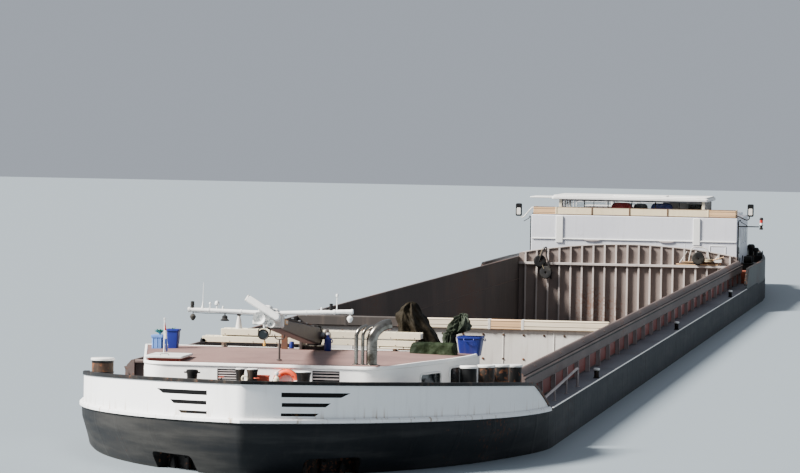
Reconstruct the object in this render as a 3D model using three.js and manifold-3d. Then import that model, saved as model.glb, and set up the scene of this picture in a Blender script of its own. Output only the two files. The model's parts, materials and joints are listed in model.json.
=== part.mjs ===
// A river bulk carrier, 110 m long and 11.45 m wide, as a 1:10 model.
// Millimetres. +X is port, +Y is aft, +Z is up, and the flat bottom stands on Z = 0.
import * as THREE from 'three';
import { mergeVertices } from 'three/addons/utils/BufferGeometryUtils.js';
import Module from 'manifold-3d';

const wasm = await Module();
wasm.setup();

// Driving dimensions
const gap = 0.3;                 // left between pieces that touch
const halfBeam = 572.5;
const stemY = -5500;
const sternY = 5508;
const deckZ = 360;               // side deck, where the hull's side ends
const bilgeRadius = 40;
const holdFrontY = -4400;        // hold's fore bulkhead
const holdAftY = 3400;           // hold's aft bulkhead
const holdHalfWidth = 480;
const holdFloorZ = 50;
const coamingFrontY = -4420;
const coamingTopZ = 461;
const foreHouseFrontY = -5255;
const foreHouseAftY = -4610;
const foreRoofZ = 512;
const aftHouseFrontY = 3650;
const aftHouseHalf = 460;
const aftRoofZ = 640;
const shaftZ = 108;              // propeller shaft above the bottom
const propellerY = 5040;
const hubLength = 56;

const colours = {
  hull: [0x2c3237, 0.7, 0.2], bulwark: [0xdfe3e6, 0.5, 0.1], rail: [0x2a2b2d, 0.6, 0.3],
  deck: [0x8b8f97, 0.7, 0.1], coaming: [0x6d5a55, 0.7, 0.2], floor: [0x4a4038, 0.9, 0.1],
  plate: [0xb7aaa6, 0.7, 0.1], wood: [0xcaa776, 0.8, 0], white: [0xeceae4, 0.5, 0.1],
  roof: [0x83655f, 0.7, 0.1], steel: [0x9aa0a4, 0.35, 0.8], dark: [0x33302e, 0.7, 0.3],
  taupe: [0x5a514d, 0.6, 0.2], green: [0x4c5440, 0.9, 0], blue: [0x24409c, 0.6, 0],
  orange: [0xdb4a24, 0.6, 0], bronze: [0xa0783c, 0.4, 0.8], beige: [0xd8c9a2, 0.6, 0],
};

const model = new THREE.Group();

// Adds a named mesh to the model
function piece(name, geometry, colour) {
  const [color, roughness, metalness] = colours[colour];
  const mesh = new THREE.Mesh(geometry, new THREE.MeshStandardMaterial({ color, roughness, metalness }));
  mesh.name = name;
  model.add(mesh);
  return mesh;
}

// Booleans

function toSolid(geometry) {
  const bare = geometry.clone();
  bare.deleteAttribute('normal');
  bare.deleteAttribute('uv');
  const merged = mergeVertices(bare, 1e-3);
  const index = merged.index.array;
  const kept = [];
  for (let i = 0; i < index.length; i += 3) {
    const [a, b, c] = [index[i], index[i + 1], index[i + 2]];
    if (a !== b && b !== c && c !== a) kept.push(a, b, c);
  }
  return new wasm.Manifold(new wasm.Mesh({
    numProp: 3,
    vertProperties: new Float32Array(merged.attributes.position.array),
    triVerts: new Uint32Array(kept),
  }));
}

function toGeometry(solid) {
  const mesh = solid.getMesh();
  const geometry = new THREE.BufferGeometry();
  geometry.setAttribute('position', new THREE.BufferAttribute(new Float32Array(mesh.vertProperties), 3));
  geometry.setIndex(new THREE.BufferAttribute(new Uint32Array(mesh.triVerts), 1));
  return geometry;
}

const joined = (...parts) => toGeometry(parts.map(toSolid).reduce((all, next) => all.add(next)));
const both = (a, b) => toGeometry(toSolid(a).intersect(toSolid(b)));
function cut(body, ...tools) {
  return toGeometry(tools.map(toSolid).reduce((all, next) => all.subtract(next), toSolid(body)));
}

// Shapes

// A box given by its two corners
function box(x0, x1, y0, y1, z0, z1) {
  const geometry = new THREE.BoxGeometry(x1 - x0, y1 - y0, z1 - z0);
  return geometry.translate((x0 + x1) / 2, (y0 + y1) / 2, (z0 + z1) / 2);
}

// An upright cylinder or cone standing on z0
function drum(x, y, z0, z1, radius, topRadius = radius, sides = 20) {
  const geometry = new THREE.CylinderGeometry(topRadius, radius, z1 - z0, sides);
  return geometry.rotateX(Math.PI / 2).translate(x, y, (z0 + z1) / 2);
}

// A cylinder along an axis, centred on a point
function rod(axis, x, y, z, radius, length, sides = 12) {
  const geometry = new THREE.CylinderGeometry(radius, radius, length, sides);
  if (axis === 'x') geometry.rotateZ(Math.PI / 2);
  if (axis === 'z') geometry.rotateX(Math.PI / 2);
  return geometry.translate(x, y, z);
}

// A round bar between two points
function bar(from, to, radius, sides = 8) {
  const a = new THREE.Vector3(...from);
  const b = new THREE.Vector3(...to);
  const geometry = new THREE.CylinderGeometry(radius, radius, a.distanceTo(b), sides);
  const turn = new THREE.Quaternion().setFromUnitVectors(new THREE.Vector3(0, 1, 0), b.clone().sub(a).normalize());
  return geometry.applyQuaternion(turn).translate((a.x + b.x) / 2, (a.y + b.y) / 2, (a.z + b.z) / 2);
}

function shapeOf(points) {
  return new THREE.Shape(points.map(([u, v]) => new THREE.Vector2(u, v)));
}

// An outline in X and Z carried along Y
function alongY(points, y0, y1) {
  const geometry = new THREE.ExtrudeGeometry(shapeOf(points), { depth: y1 - y0, bevelEnabled: false });
  return geometry.rotateX(Math.PI / 2).translate(0, y1, 0);
}

// An outline in Y and Z carried along X
function alongX(points, x0, x1) {
  const geometry = new THREE.ExtrudeGeometry(shapeOf(points), { depth: x1 - x0, bevelEnabled: false });
  return geometry.rotateX(Math.PI / 2).rotateZ(Math.PI / 2).translate(x0, 0, 0);
}

// An outline in X and Y carried up from z0 to z1
function upwards(points, z0, z1) {
  return new THREE.ExtrudeGeometry(shapeOf(points), { depth: z1 - z0, bevelEnabled: false }).translate(0, 0, z0);
}

// A pipe of even section along a curve
function pipe(points, radius, steps = 24, sides = 10) {
  const path = new THREE.CatmullRomCurve3(points.map((p) => new THREE.Vector3(...p)), false, 'catmullrom', 0.4);
  const round = new THREE.Shape();
  round.absarc(0, 0, radius, 0, 2 * Math.PI);
  return new THREE.ExtrudeGeometry(round, { steps, curveSegments: sides, extrudePath: path });
}

// A solid through rings of equal count. Each ring is half an outline, port side, which is
// mirrored to starboard. The first and last rings are closed by flat strips.
function mirroredLoft(rings) {
  const count = rings[0].length;
  const positions = [];
  for (const ring of rings) for (const [x, y, z] of ring) positions.push(x, y, z);
  for (const ring of rings) for (const [x, y, z] of ring) positions.push(-x, y, z);
  const port = (j, i) => j * count + i;
  const starboard = (j, i) => (rings.length + j) * count + i;
  const index = [];
  for (let j = 0; j + 1 < rings.length; j += 1) {
    for (let i = 0; i + 1 < count; i += 1) {
      index.push(port(j, i), port(j, i + 1), port(j + 1, i + 1), port(j, i), port(j + 1, i + 1), port(j + 1, i));
      index.push(starboard(j, i), starboard(j + 1, i + 1), starboard(j, i + 1));
      index.push(starboard(j, i), starboard(j + 1, i), starboard(j + 1, i + 1));
    }
    const last = count - 1;
    index.push(port(j, last), starboard(j, last), starboard(j + 1, last));
    index.push(port(j, last), starboard(j + 1, last), port(j + 1, last));
    index.push(port(j, 0), starboard(j + 1, 0), starboard(j, 0), port(j, 0), port(j + 1, 0), starboard(j + 1, 0));
  }
  const top = rings.length - 1;
  for (let i = 0; i + 1 < count; i += 1) {
    index.push(port(0, i), starboard(0, i), port(0, i + 1), port(0, i + 1), starboard(0, i), starboard(0, i + 1));
    index.push(port(top, i), port(top, i + 1), starboard(top, i));
    index.push(port(top, i + 1), starboard(top, i + 1), starboard(top, i));
  }
  const geometry = new THREE.BufferGeometry();
  geometry.setAttribute('position', new THREE.Float32BufferAttribute(positions, 3));
  geometry.setIndex(index);
  return toGeometry(toSolid(geometry));
}

// The bow

const bowLength = holdFrontY - stemY;
const bowSteps = 16;

// Half outline of the bow at one level, from the stem aft to the hold's bulkhead: a Bezier
// curve that starts `setback` aft of the stem and reaches its half width at the bulkhead.
function bowOutline(halfWidth, setback, zAt, inset = 0, endY = holdFrontY) {
  const stretch = (bowLength - setback) / bowLength;
  const start = stemY + setback + inset;
  const curve = new THREE.CubicBezierCurve(
    new THREE.Vector2(0.01, start),
    new THREE.Vector2(0.454 * (halfWidth - inset), start + 90 * stretch),
    new THREE.Vector2(halfWidth - inset, start + 500 * stretch),
    new THREE.Vector2(halfWidth - inset, holdFrontY),
  );
  const points = curve.getPoints(bowSteps).filter((p) => p.y < endY - 1);
  if (points.length <= bowSteps) {
    const after = curve.getPoints(bowSteps)[points.length];
    const before = points[points.length - 1];
    const share = (endY - before.y) / (after.y - before.y);
    points.push(new THREE.Vector2(before.x + share * (after.x - before.x), endY));
  }
  return points.map((p) => [p.x, p.y, zAt(p.y)]);
}

// Share of the way from the bow's shoulder to the stem
const towardStem = (y, from = -4400) => Math.max(0, (from - y) / (from - stemY));
const boundaryZ = (y) => deckZ + 3 + 31 * towardStem(y) ** 1.2;      // where the white paint begins
const bulwarkTopZ = (y) => 422 + 63 * towardStem(y) ** 0.8;
const foreDeckZ = (y) => bulwarkTopZ(y) - 44;

// Level at the stem and half width at the bulkhead, from the bottom to the white paint's edge.
// Above the waterline the levels rise with that edge.
const waterlineZ = 272;
const stemTopZ = boundaryZ(stemY);
const bowLevels = [
  [0, 532.5], [5.4, 552.5], [20, 567.1], [bilgeRadius, halfBeam], [80, halfBeam], [120, halfBeam],
  [160, halfBeam], [200, halfBeam], [236, halfBeam], [waterlineZ, halfBeam], [312, halfBeam], [352, halfBeam],
];
const stemSetback = (z) => 450 * (1 - z / stemTopZ) ** 1.75;
function bowLevelAt(z) {
  const share = Math.max(0, (z - waterlineZ) / (stemTopZ - waterlineZ));
  return (y) => Math.min(z, waterlineZ) + share * (boundaryZ(y) - waterlineZ);
}

// An anchor pocket in each side, turned to lie along the hull there
const pocketX = 172;
const pocketY = stemY + 168;
const pocketTurn = 0.66;         // radians
const pocketDepth = 35;

function bowHull() {
  const rings = bowLevels.map(([z, half]) => bowOutline(half, stemSetback(z), bowLevelAt(z)));
  rings.push(bowOutline(halfBeam, 0, boundaryZ));
  const hull = mirroredLoft(rings);
  const pockets = [-1, 1].map((side) => {
    const pocket = new THREE.BoxGeometry(150, 2 * pocketDepth, 66).rotateZ(side * pocketTurn);
    return pocket.translate(side * pocketX, pocketY, 278);
  });
  const thrusterTunnel = rod('x', 0, -4700, 110, 42, 1300, 16);
  return cut(hull, ...pockets, thrusterTunnel);
}

// A wall along the bow between two levels, given thickness inward
function bowWall(inset, thickness, lowZ, highZ, endY) {
  const outside = mirroredLoft([
    bowOutline(halfBeam, 0, lowZ, inset, endY),
    bowOutline(halfBeam, 0, highZ, inset, endY),
  ]);
  const under = (y) => lowZ(y) - 5;
  const over = (y) => highZ(y) + 5;
  const inside = mirroredLoft([
    bowOutline(halfBeam, 0, under, inset + thickness, endY + 8),
    bowOutline(halfBeam, 0, over, inset + thickness, endY + 8),
  ]);
  return cut(outside, inside);
}

const bulwarkEndY = -4450;
const bulwarkWall = 8;

piece('hull_bow', bowHull(), 'hull');

// the bulwark's aft end slopes down to the side deck
const bulwark = bowWall(4, bulwarkWall, (y) => boundaryZ(y) + gap, bulwarkTopZ, bulwarkEndY);
const slopeZ = (y) => 424 - 0.3625 * (y + 4590);
const aboveSlope = (lift) => alongX([
  [-4430, slopeZ(-4430) + lift], [-4430, 560], [-4860, 560], [-4860, slopeZ(-4860) + lift],
], -700, 700);
piece('bow_bulwark', cut(bulwark, aboveSlope(0)), 'bulwark');

// the cap rail is level with the bulwark's top, then follows the slope
const railWall = bulwarkWall + 5;
const levelRail = bowWall(1, railWall, (y) => bulwarkTopZ(y) + gap, (y) => bulwarkTopZ(y) + 5, -4590);
const slopeBand = alongX([
  [-4637, slopeZ(-4637) + gap], [-4440, slopeZ(-4440) + gap],
  [-4440, slopeZ(-4440) + 5.2], [-4637, slopeZ(-4637) + 5.2],
], -700, 700);
const slopedRail = both(bowWall(1, railWall, () => 355, () => 500, -4441), slopeBand);
piece('bow_cap_rail', cut(joined(levelRail, slopedRail), aboveSlope(5.2)), 'rail');
piece('bow_strake', bowWall(-8, 11.5, (y) => boundaryZ(y) + 2, (y) => boundaryZ(y) + 12, -4470), 'bulwark');

// raised fore deck inside the bulwark
const foreDeck = mirroredLoft([
  bowOutline(halfBeam, 0, (y) => boundaryZ(y) + gap, 4 + bulwarkWall + gap, -4580),
  bowOutline(halfBeam, 0, foreDeckZ, 4 + bulwarkWall + gap, -4580),
]);
piece('fore_deck', foreDeck, 'deck');

// The hold: double bottom, side tanks and coamings

const betweenCoamings = holdHalfWidth - gap;
piece('double_bottom', box(
  -betweenCoamings, betweenCoamings, holdFrontY + gap, holdAftY - gap, 0, holdFloorZ,
), 'floor');

// Small bollards along each side deck
const sideBollardYs = [-3120, -490, 2085];
const bollard = (x, y, radius, top, base) => joined(
  drum(x, y, base, top - 5, radius, radius, 20), drum(x, y, top - 6, top, radius + 2, radius + 2, 20));

// Section of a side tank, with the bilge as an arc and a low edge along the deck
function sideTank(side) {
  const bilge = [0, 30, 60, 90].map((degrees) => {
    const angle = THREE.MathUtils.degToRad(degrees);
    return [halfBeam - bilgeRadius + bilgeRadius * Math.sin(angle), bilgeRadius * (1 - Math.cos(angle))];
  });
  const edge = [[halfBeam, deckZ + 8], [halfBeam - 5, deckZ + 8], [halfBeam - 5, deckZ]];
  const outline = [[holdHalfWidth, 0], ...bilge, ...edge, [holdHalfWidth, deckZ]];
  const tank = alongY(outline.map(([x, z]) => [side * x, z]), holdFrontY + gap, holdAftY - gap);
  return joined(tank, ...sideBollardYs.map((y) => bollard(side * 545, y, 7, deckZ + 28, deckZ - 3)));
}

const bowDeckZ = boundaryZ(coamingFrontY);
const bays = 27;
const bay = 284.3;               // distance from one stay to the next

// Coaming: inner plate, a box girder on its upper half with a lip, and a stay at each bay.
// Its fore end rests on the bow's deck, which is a little higher than the side deck.
function coaming(side) {
  const bow = bowDeckZ + gap;
  const section = [
    [480, bow], [485, bow], [485, 411], [503, 411], [503, 440], [506, 440],
    [506, 444], [499, 444], [499, 448], [486, coamingTopZ], [480, coamingTopZ],
  ];
  const girder = alongY(section.map(([x, z]) => [side * x, z]), coamingFrontY, holdAftY - gap);
  const foot = alongY([[480, deckZ + gap], [485, deckZ + gap], [485, 366], [480, 366]].map(([x, z]) => [side * x, z]),
    holdFrontY + gap, holdAftY - gap);
  const stay = (y, base) => alongY(
    [[484, base], [511, base], [502, 413], [484, 413]].map(([x, z]) => [side * x, z]), y, y + 4);
  const stays = [stay(coamingFrontY, bow)];
  for (let i = 0; i <= bays; i += 1) stays.push(stay(holdAftY - 6 - i * bay, deckZ + 1));
  return joined(girder, foot, ...stays);
}

for (const [side, word] of [[1, 'port'], [-1, 'starboard']]) {
  piece(`side_tank_${word}`, sideTank(side), 'hull');
  piece(`coaming_${word}`, coaming(side), 'coaming');
}

piece('coaming_fore', joined(
  box(-betweenCoamings, betweenCoamings, holdFrontY - 7, holdFrontY - 1, bowDeckZ + gap, coamingTopZ),
  box(-betweenCoamings, betweenCoamings, coamingFrontY, holdFrontY - 1, 452, coamingTopZ),
), 'coaming');

// Aft end of the hold: a plate with an arched top, stiffeners and a ledge on its fore face
function aftBulkhead() {
  const half = betweenCoamings;
  const arch = [];
  for (let i = 0; i <= 16; i += 1) {
    const x = half - (2 * half * i) / 16;
    arch.push([x, 476 + 48 * Math.cos((Math.PI / 2) * (x / half)) ** 0.8]);
  }
  const plate = alongY([[-half, holdFloorZ + gap], [half, holdFloorZ + gap], ...arch], holdAftY - 12, holdAftY - gap);
  const ribs = [];
  for (let i = -9; i <= 9; i += 1) {
    const x = i * 50;
    const top = 470 + 48 * Math.cos((Math.PI / 2) * (x / half)) ** 0.8;
    ribs.push(box(x - 3.5, x + 3.5, holdAftY - 24, holdAftY - 11, holdFloorZ + gap, top));
  }
  return joined(plate, ...ribs, box(-half, half, holdAftY - 30, holdAftY - 11, 430, 437));
}
piece('aft_bulkhead', aftBulkhead(), 'plate');

const dividerY = -2110;
piece('hold_divider', joined(
  box(-478, 478, dividerY - 5, dividerY + 5, holdFloorZ + gap, 434),
  box(-478, 478, dividerY - 14, dividerY + 14, 240, 252),
), 'white');
piece('divider_beam', box(-478, 478, dividerY - 15, dividerY + 15, 434 + gap, 464), 'wood');

// Fore deckhouse

// Port half of the fore deckhouse's plan, front to back, with a round front corner
function foreHouseHalf(grow) {
  const front = foreHouseFrontY - grow;
  return [
    [230 + grow, front], [262 + grow, front + 9], [283 + grow, front + 34], [307 + grow, -5150],
    [337 + grow, -5050], [363 + grow, -4950], [385 + grow, -4850], [402 + grow, -4750],
    [415 + grow, foreHouseAftY + grow],
  ];
}

const foreHouseBase = 380;
function foreHouse() {
  const half = foreHouseHalf(0);
  const walls = upwards([...half, ...half.map(([x, y]) => [-x, y]).reverse()], foreHouseBase, foreRoofZ - 8);
  const deckUnder = mirroredLoft([
    bowOutline(halfBeam, 0, () => 300, 4, -4581),
    bowOutline(halfBeam, 0, (y) => foreDeckZ(y) + gap, 4, -4581),
  ]);
  return cut(walls, deckUnder);
}
piece('fore_deckhouse', foreHouse(), 'white');

// The roof is highest along its middle, and level along its front edge
const roofCamber = 8;
function roofZ(x, y) {
  const ramp = Math.min(1, Math.max(0, (y + 5250) / 250));
  return foreRoofZ + roofCamber * (1 - (x / 422) ** 2) * ramp * ramp * (3 - 2 * ramp);
}
function roofSlab(lowZ, lift) {
  const half = foreHouseHalf(7);
  const middleY = -4930;
  const shrunk = (scale) => half.map(([x, y]) => [x * scale, middleY + (y - middleY) * scale]);
  const tops = [1, 0.8, 0.55, 0.3, 0.12].map((scale) => shrunk(scale).map(([x, y]) => [x, y, roofZ(x, y) + lift]));
  return mirroredLoft([half.map(([x, y]) => [x, y, lowZ]), ...tops]);
}
const hatch = box(-264, -202, -5214, -5122, 490, 540);
piece('fore_roof', cut(roofSlab(foreRoofZ - 8 + gap, 0), hatch), 'roof');

// Takes from a piece what would be below the roof's surface
const underRoof = roofSlab(480, gap);
const onRoof = (...parts) => cut(joined(...parts), underRoof);

// a low lid on its coaming near the starboard fore corner of the roof, hinged at its aft edge
const lidZ = foreRoofZ + 5.6;
piece('skylight_coaming', cut(
  onRoof(box(-272, -194, -5222, -5114, foreRoofZ - 4, lidZ - 0.6)),
  box(-264, -202, -5214, -5122, 480, 540),
), 'dark');
piece('skylight_lid', box(-278, -188, -5228, -5108, lidZ, lidZ + 6), 'white');

// Exhaust pipes on one foot plate: place on the roof, radius and height
const exhausts = [[214, 4.7, 88], [229, 4, 88], [250, 12.6, 108]];
const exhaustY = foreHouseFrontY + 25;
function exhaust([x, radius, height]) {
  const top = foreRoofZ + height;
  const turn = 2.2 * radius + 6;
  return pipe([
    [x, exhaustY, foreRoofZ - 3], [x, exhaustY, foreRoofZ + height * 0.4], [x, exhaustY, top - turn],
    [x + turn * 0.2, exhaustY + turn * 0.2, top - turn * 0.35],
    [x + turn * 0.6, exhaustY + turn * 0.55, top - radius],
    [x + turn * 1.1, exhaustY + turn * 0.9, top - radius + 2],
  ], radius, 20, 10);
}
const exhaustFoot = box(204, 268, exhaustY - 17, exhaustY + 17, foreRoofZ - 4, foreRoofZ + 3);
piece('exhausts', onRoof(exhaustFoot, ...exhausts.map(exhaust)), 'steel');

// Folding mast: pedestal on the roof, arm lowered forward, yard and radar at its head

const mastX = 30;
const mastHingeY = -4730;
const mastHingeZ = foreRoofZ + 38;
piece('mast_pedestal', onRoof(
  box(mastX - 34, mastX + 34, mastHingeY + 2, mastHingeY + 36, foreRoofZ, foreRoofZ + 12),
  box(mastX - 34, mastX - 27, mastHingeY - 18, mastHingeY + 36, foreRoofZ, mastHingeZ + 14),
  box(mastX + 27, mastX + 34, mastHingeY - 18, mastHingeY + 36, foreRoofZ, mastHingeZ + 14),
), 'taupe');

const armLength = 540;
const armRise = 0.1017;          // slope of the lowered arm, radians
const mast = new THREE.Group();
mast.position.set(mastX, mastHingeY, mastHingeZ);
mast.rotation.x = -armRise;

// The arm runs along -Y of its own frame from the hinge at the origin
function mastArm() {
  const outline = [
    [12, -12], [19, 0], [14, 16], [-10, 20], [-armLength, 12], [-armLength, -12], [-60, -22], [-10, -21],
  ];
  const body = alongX(outline, -16, 16);
  return joined(body, rod('x', 0, 0, 0, 9, 53, 16), box(-20, 20, -armLength - 4, -armLength + 24, -8, 22));
}
function inMast(name, geometry, colour) {
  const mesh = piece(name, geometry, colour);
  mast.add(mesh);
}
inMast('mast_arm', mastArm(), 'taupe');

// The yard's halves rise outward. Its lamps and aerials: place along it, low end, high end, radius
const yardY = -armLength - 10;
const yardMiddleZ = 23.5;
const yardFittings = [
  [-188, 26, 50, 3.5], [-188, 6, 20, 6], [-188, 14, 30, 1.5], [-164, 26, 84, 1.3], [-147, 26, 42, 2.5],
  [-131, 26, 44, 5], [-112, 4, 16, 6.5], [-112, 12, 28, 1.5], [122, 26, 46, 3.5], [134, 26, 44, 3],
  [145, 26, 62, 2], [176, 8, 22, 5], [176, 16, 34, 1.5],
];
inMast('mast_yard', joined(
  bar([-198, yardY, yardMiddleZ + 4], [0, yardY, yardMiddleZ], 5, 10),
  bar([0, yardY, yardMiddleZ], [183, yardY, yardMiddleZ + 8], 5, 10),
  box(-12, 12, -armLength - 18, -armLength - 4 - gap, 4, 34),
  ...yardFittings.map(([x, low, high, radius]) => drum(x, yardY, low, high, radius, radius, 10)),
), 'white');
const scannerX = -14;
const scannerZ = 31.7;
inMast('radar_gearbox', joined(
  box(scannerX - 15, scannerX + 15, -armLength - 46, -armLength - 18 - gap, 2, 40),
  box(scannerX + 8, scannerX + 34, -armLength - 44, -armLength - 20, 4, 24),
  rod('y', scannerX, -armLength - 50, scannerZ, 6, 10, 14),
), 'white');
model.add(mast);

const scanner = new THREE.Mesh(
  joined(box(-45, 45, -5, 5, -8, 8), rod('y', 0, 4, 0, 8, 12, 14)),
  new THREE.MeshStandardMaterial({ color: 0xf0f0ee, roughness: 0.5, metalness: 0.1 }),
);
scanner.name = 'radar_scanner';
scanner.position.set(scannerX, -armLength - 66, scannerZ);
scanner.rotation.y = 0.54;
mast.add(scanner);

// Foredeck fittings

// bollards: x, y, radius, top above the bottom
const bowBollards = [[425, -4880, 19, 488], [452, -4765, 19, 484], [472, -4650, 19, 479]];
const bollardStrip = upwards([[400, -4905], [440, -4905], [494, -4628], [452, -4628]], 390, foreDeckZ(-4905) + 9);
const underDeck = mirroredLoft([
  bowOutline(halfBeam, 0, () => 300, 4, -4590), bowOutline(halfBeam, 0, (y) => foreDeckZ(y) + gap, 4, -4590),
]);
piece('bow_bollards_port', cut(joined(bollardStrip, ...bowBollards.map(([x, y, radius, top]) => (
  bollard(x, y, radius, top, 420)))), underDeck), 'dark');
piece('bow_bollard_starboard', bollard(-455, -4880, 26, 493, foreDeckZ(-4906) + 0.8), 'dark');
piece('coaming_bollard', bollard(490, -4535, 18, 472, boundaryZ(-4555) + 0.8), 'dark');

const windlassY = -5352;
piece('windlass', joined(
  box(-160, 138, windlassY - 20, windlassY + 20, foreDeckZ(windlassY - 20) + 0.8, foreDeckZ(windlassY) + 9),
  drum(-30, windlassY, 440, 508, 10, 10, 16), drum(-2, windlassY, 440, 508, 10, 10, 16),
  drum(-140, windlassY, 440, 502, 13, 13, 16), drum(115, windlassY, 440, 505, 17, 17, 18),
  box(20, 102, windlassY - 14, windlassY + 14, 440, 478),
), 'dark');

// Lifebuoy on the front wall
piece('lifebuoy', new THREE.TorusGeometry(24, 6.5, 8, 28).rotateX(Math.PI / 2)
  .translate(60, foreHouseFrontY - 7, 472), 'orange');

// Gangway stowed across the aft end of the roof: one slab above another, held by three posts
const gangwayY = -4660;
const gangwayPosts = [-205, -67, 215].map((x) => box(x - 3, x + 3, gangwayY - 16, gangwayY + 16, foreRoofZ - 4, 548));
piece('gangway', onRoof(
  box(-255, 268, gangwayY - 22, gangwayY + 22, 526, 536),
  box(-209, 280, gangwayY - 20, gangwayY + 20, 547, 559),
  rod('y', -252, gangwayY, 528, 9, 44, 16), drum(-169, gangwayY, 558, 599, 8, 2, 12), ...gangwayPosts,
), 'beige');

// Tubs, a covered box and tarpaulins. A tub is a square one, wider at its rim.
const tub = (x, y, topZ, half, rimHalf) => drum(0, 0, foreRoofZ - 4, topZ, half * Math.SQRT2, rimHalf * Math.SQRT2, 4)
  .rotateZ(Math.PI / 4).translate(x, y, 0);
piece('roof_crates', onRoof(box(-353, -310, -4806, -4774, foreRoofZ - 4, 545), tub(-303, -4790, 561, 10, 16)), 'blue');
piece('port_tub', onRoof(tub(396, -4640, 553, 24, 31)), 'blue');
piece('covered_box', onRoof(box(264, 377, -4765, -4715, foreRoofZ - 4, 541)), 'green');
piece('tarpaulin_bundle', onRoof(alongY(
  [[326, 505], [360, 505], [363, 557], [404, 580], [393, 611], [357, 606], [338, 579], [323, 540]], -4668, -4614,
)), 'green');

// A covered stack of gear on the deck between the deckhouse and the hold
const stack = [
  [200, 367.2], [312, 367.2], [318, 520], [308, 545], [264, 602], [244, 628], [220, 628], [190, 600], [192, 520],
];
piece('dark_tarpaulin', alongY(stack, -4577, -4460), 'green');

// Anchors in the bow pockets
for (const [side, word] of [[1, 'port'], [-1, 'starboard']]) {
  const anchor = joined(
    new THREE.BoxGeometry(16, 12, 58),
    new THREE.BoxGeometry(110, 14, 16).translate(0, 0, -24),
    new THREE.BoxGeometry(14, 12, 44).translate(-46, 0, -6),
    new THREE.BoxGeometry(14, 12, 44).translate(46, 0, -6),
  );
  // its flukes lie against the pocket's back
  const inward = pocketDepth - 7 - gap;
  anchor.rotateZ(side * pocketTurn);
  anchor.translate(side * (pocketX - inward * Math.sin(pocketTurn)), pocketY + inward * Math.cos(pocketTurn), 281);
  piece(`anchor_${word}`, anchor, 'dark');
}

// The stern

// The hull under the wheelhouse: one long block, then one each side of the lift's shaft
const liftX = -35;
const liftY = 4080;
const shaftHalf = 30;
function hullBlock(x0, x1, y0, y1) {
  const bilge = [0, 30, 60, 90].map((degrees) => {
    const angle = THREE.MathUtils.degToRad(degrees);
    return [halfBeam - bilgeRadius + bilgeRadius * Math.sin(angle), bilgeRadius * (1 - Math.cos(angle))];
  });
  const port = x1 > 500 ? [...bilge, [x1, deckZ]] : [[x1, 0], [x1, deckZ]];
  const starboard = x0 < -500 ? [[x0, deckZ], ...bilge.map(([x, z]) => [-x, z]).reverse()] : [[x0, deckZ], [x0, 0]];
  return alongY([...port, ...starboard], y0, y1);
}
// the sides begin to draw in towards the stern
const narrowFromY = 3740;
const sternFrontHalf = 560;
const drawIn = (side) => upwards([
  [side * halfBeam, narrowFromY], [side * 600, narrowFromY], [side * 600, liftY + shaftHalf + 5],
  [side * sternFrontHalf, liftY + shaftHalf + 5], [side * sternFrontHalf, liftY + shaftHalf],
], -5, deckZ + 5);
const midBlock = (...corners) => cut(hullBlock(...corners), drawIn(1), drawIn(-1));
piece('hull_mid', midBlock(-halfBeam, halfBeam, holdAftY, liftY - shaftHalf), 'hull');
piece('hull_mid_port', midBlock(liftX + shaftHalf, halfBeam, liftY - shaftHalf + gap, liftY + shaftHalf - gap), 'hull');
piece('hull_mid_starboard', midBlock(-halfBeam, liftX - shaftHalf, liftY - shaftHalf + gap, liftY + shaftHalf - gap), 'hull');
piece('lift_shaft_floor', box(
  liftX - shaftHalf + gap, liftX + shaftHalf - gap, liftY - shaftHalf + gap, liftY + shaftHalf - gap, 0, 40,
), 'hull');

// Stations: y, half width at the deck, bottom height at the middle, half width of the bottom,
// height where the side begins
const sternStations = [
  [liftY + shaftHalf, sternFrontHalf, 0, 522, 40], [4400, 538, 22, 486, 80],
  [4650, 516, 78, 446, 150], [4850, 498, 148, 406, 200], [5000, 484, 208, 374, 240],
  [5200, 462, 226, 336, 262], [5360, 440, 240, 306, 276], [sternY, 396, 262, 268, 292],
];
const enginePit = [-200, 200, 4420, 4840];
function sternHull() {
  const rings = sternStations.map(([y, half, low, flat, turn]) => [
    [flat, y, low],
    [flat + (half - flat) * 0.5, y, low + (turn - low) * 0.134],
    [flat + (half - flat) * 0.866, y, low + (turn - low) * 0.5],
    [half, y, turn], [half, y, deckZ],
  ]).reverse();
  // a skeg down the middle carries the shaft to the propeller
  const skeg = alongX([[4390, 30], [4560, 60], [4700, 84], [5005, 84], [5005, 132], [4900, 250], [4390, 250]], -16, 16);
  const tubeAftY = propellerY - hubLength / 2 - gap;
  const tube = rod('y', 0, tubeAftY - 80, shaftZ, 24, 160, 16);
  return cut(joined(mirroredLoft(rings), skeg, tube), box(...enginePit, 180, 400));
}
piece('hull_stern', sternHull(), 'hull');
piece('engine', box(-62, 62, 4480, 4790, 180 + gap, 330), 'dark');

// Half width of the deck at a place along the ship
function deckHalfAt(y) {
  const edge = [[narrowFromY, halfBeam], ...sternStations];
  const after = edge.findIndex((station) => station[0] >= y);
  if (after <= 0) return halfBeam;
  const [y1, half1] = edge[after];
  const [y0, half0] = edge[after - 1];
  return half0 + ((half1 - half0) * (y - y0)) / (y1 - y0);
}

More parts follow.
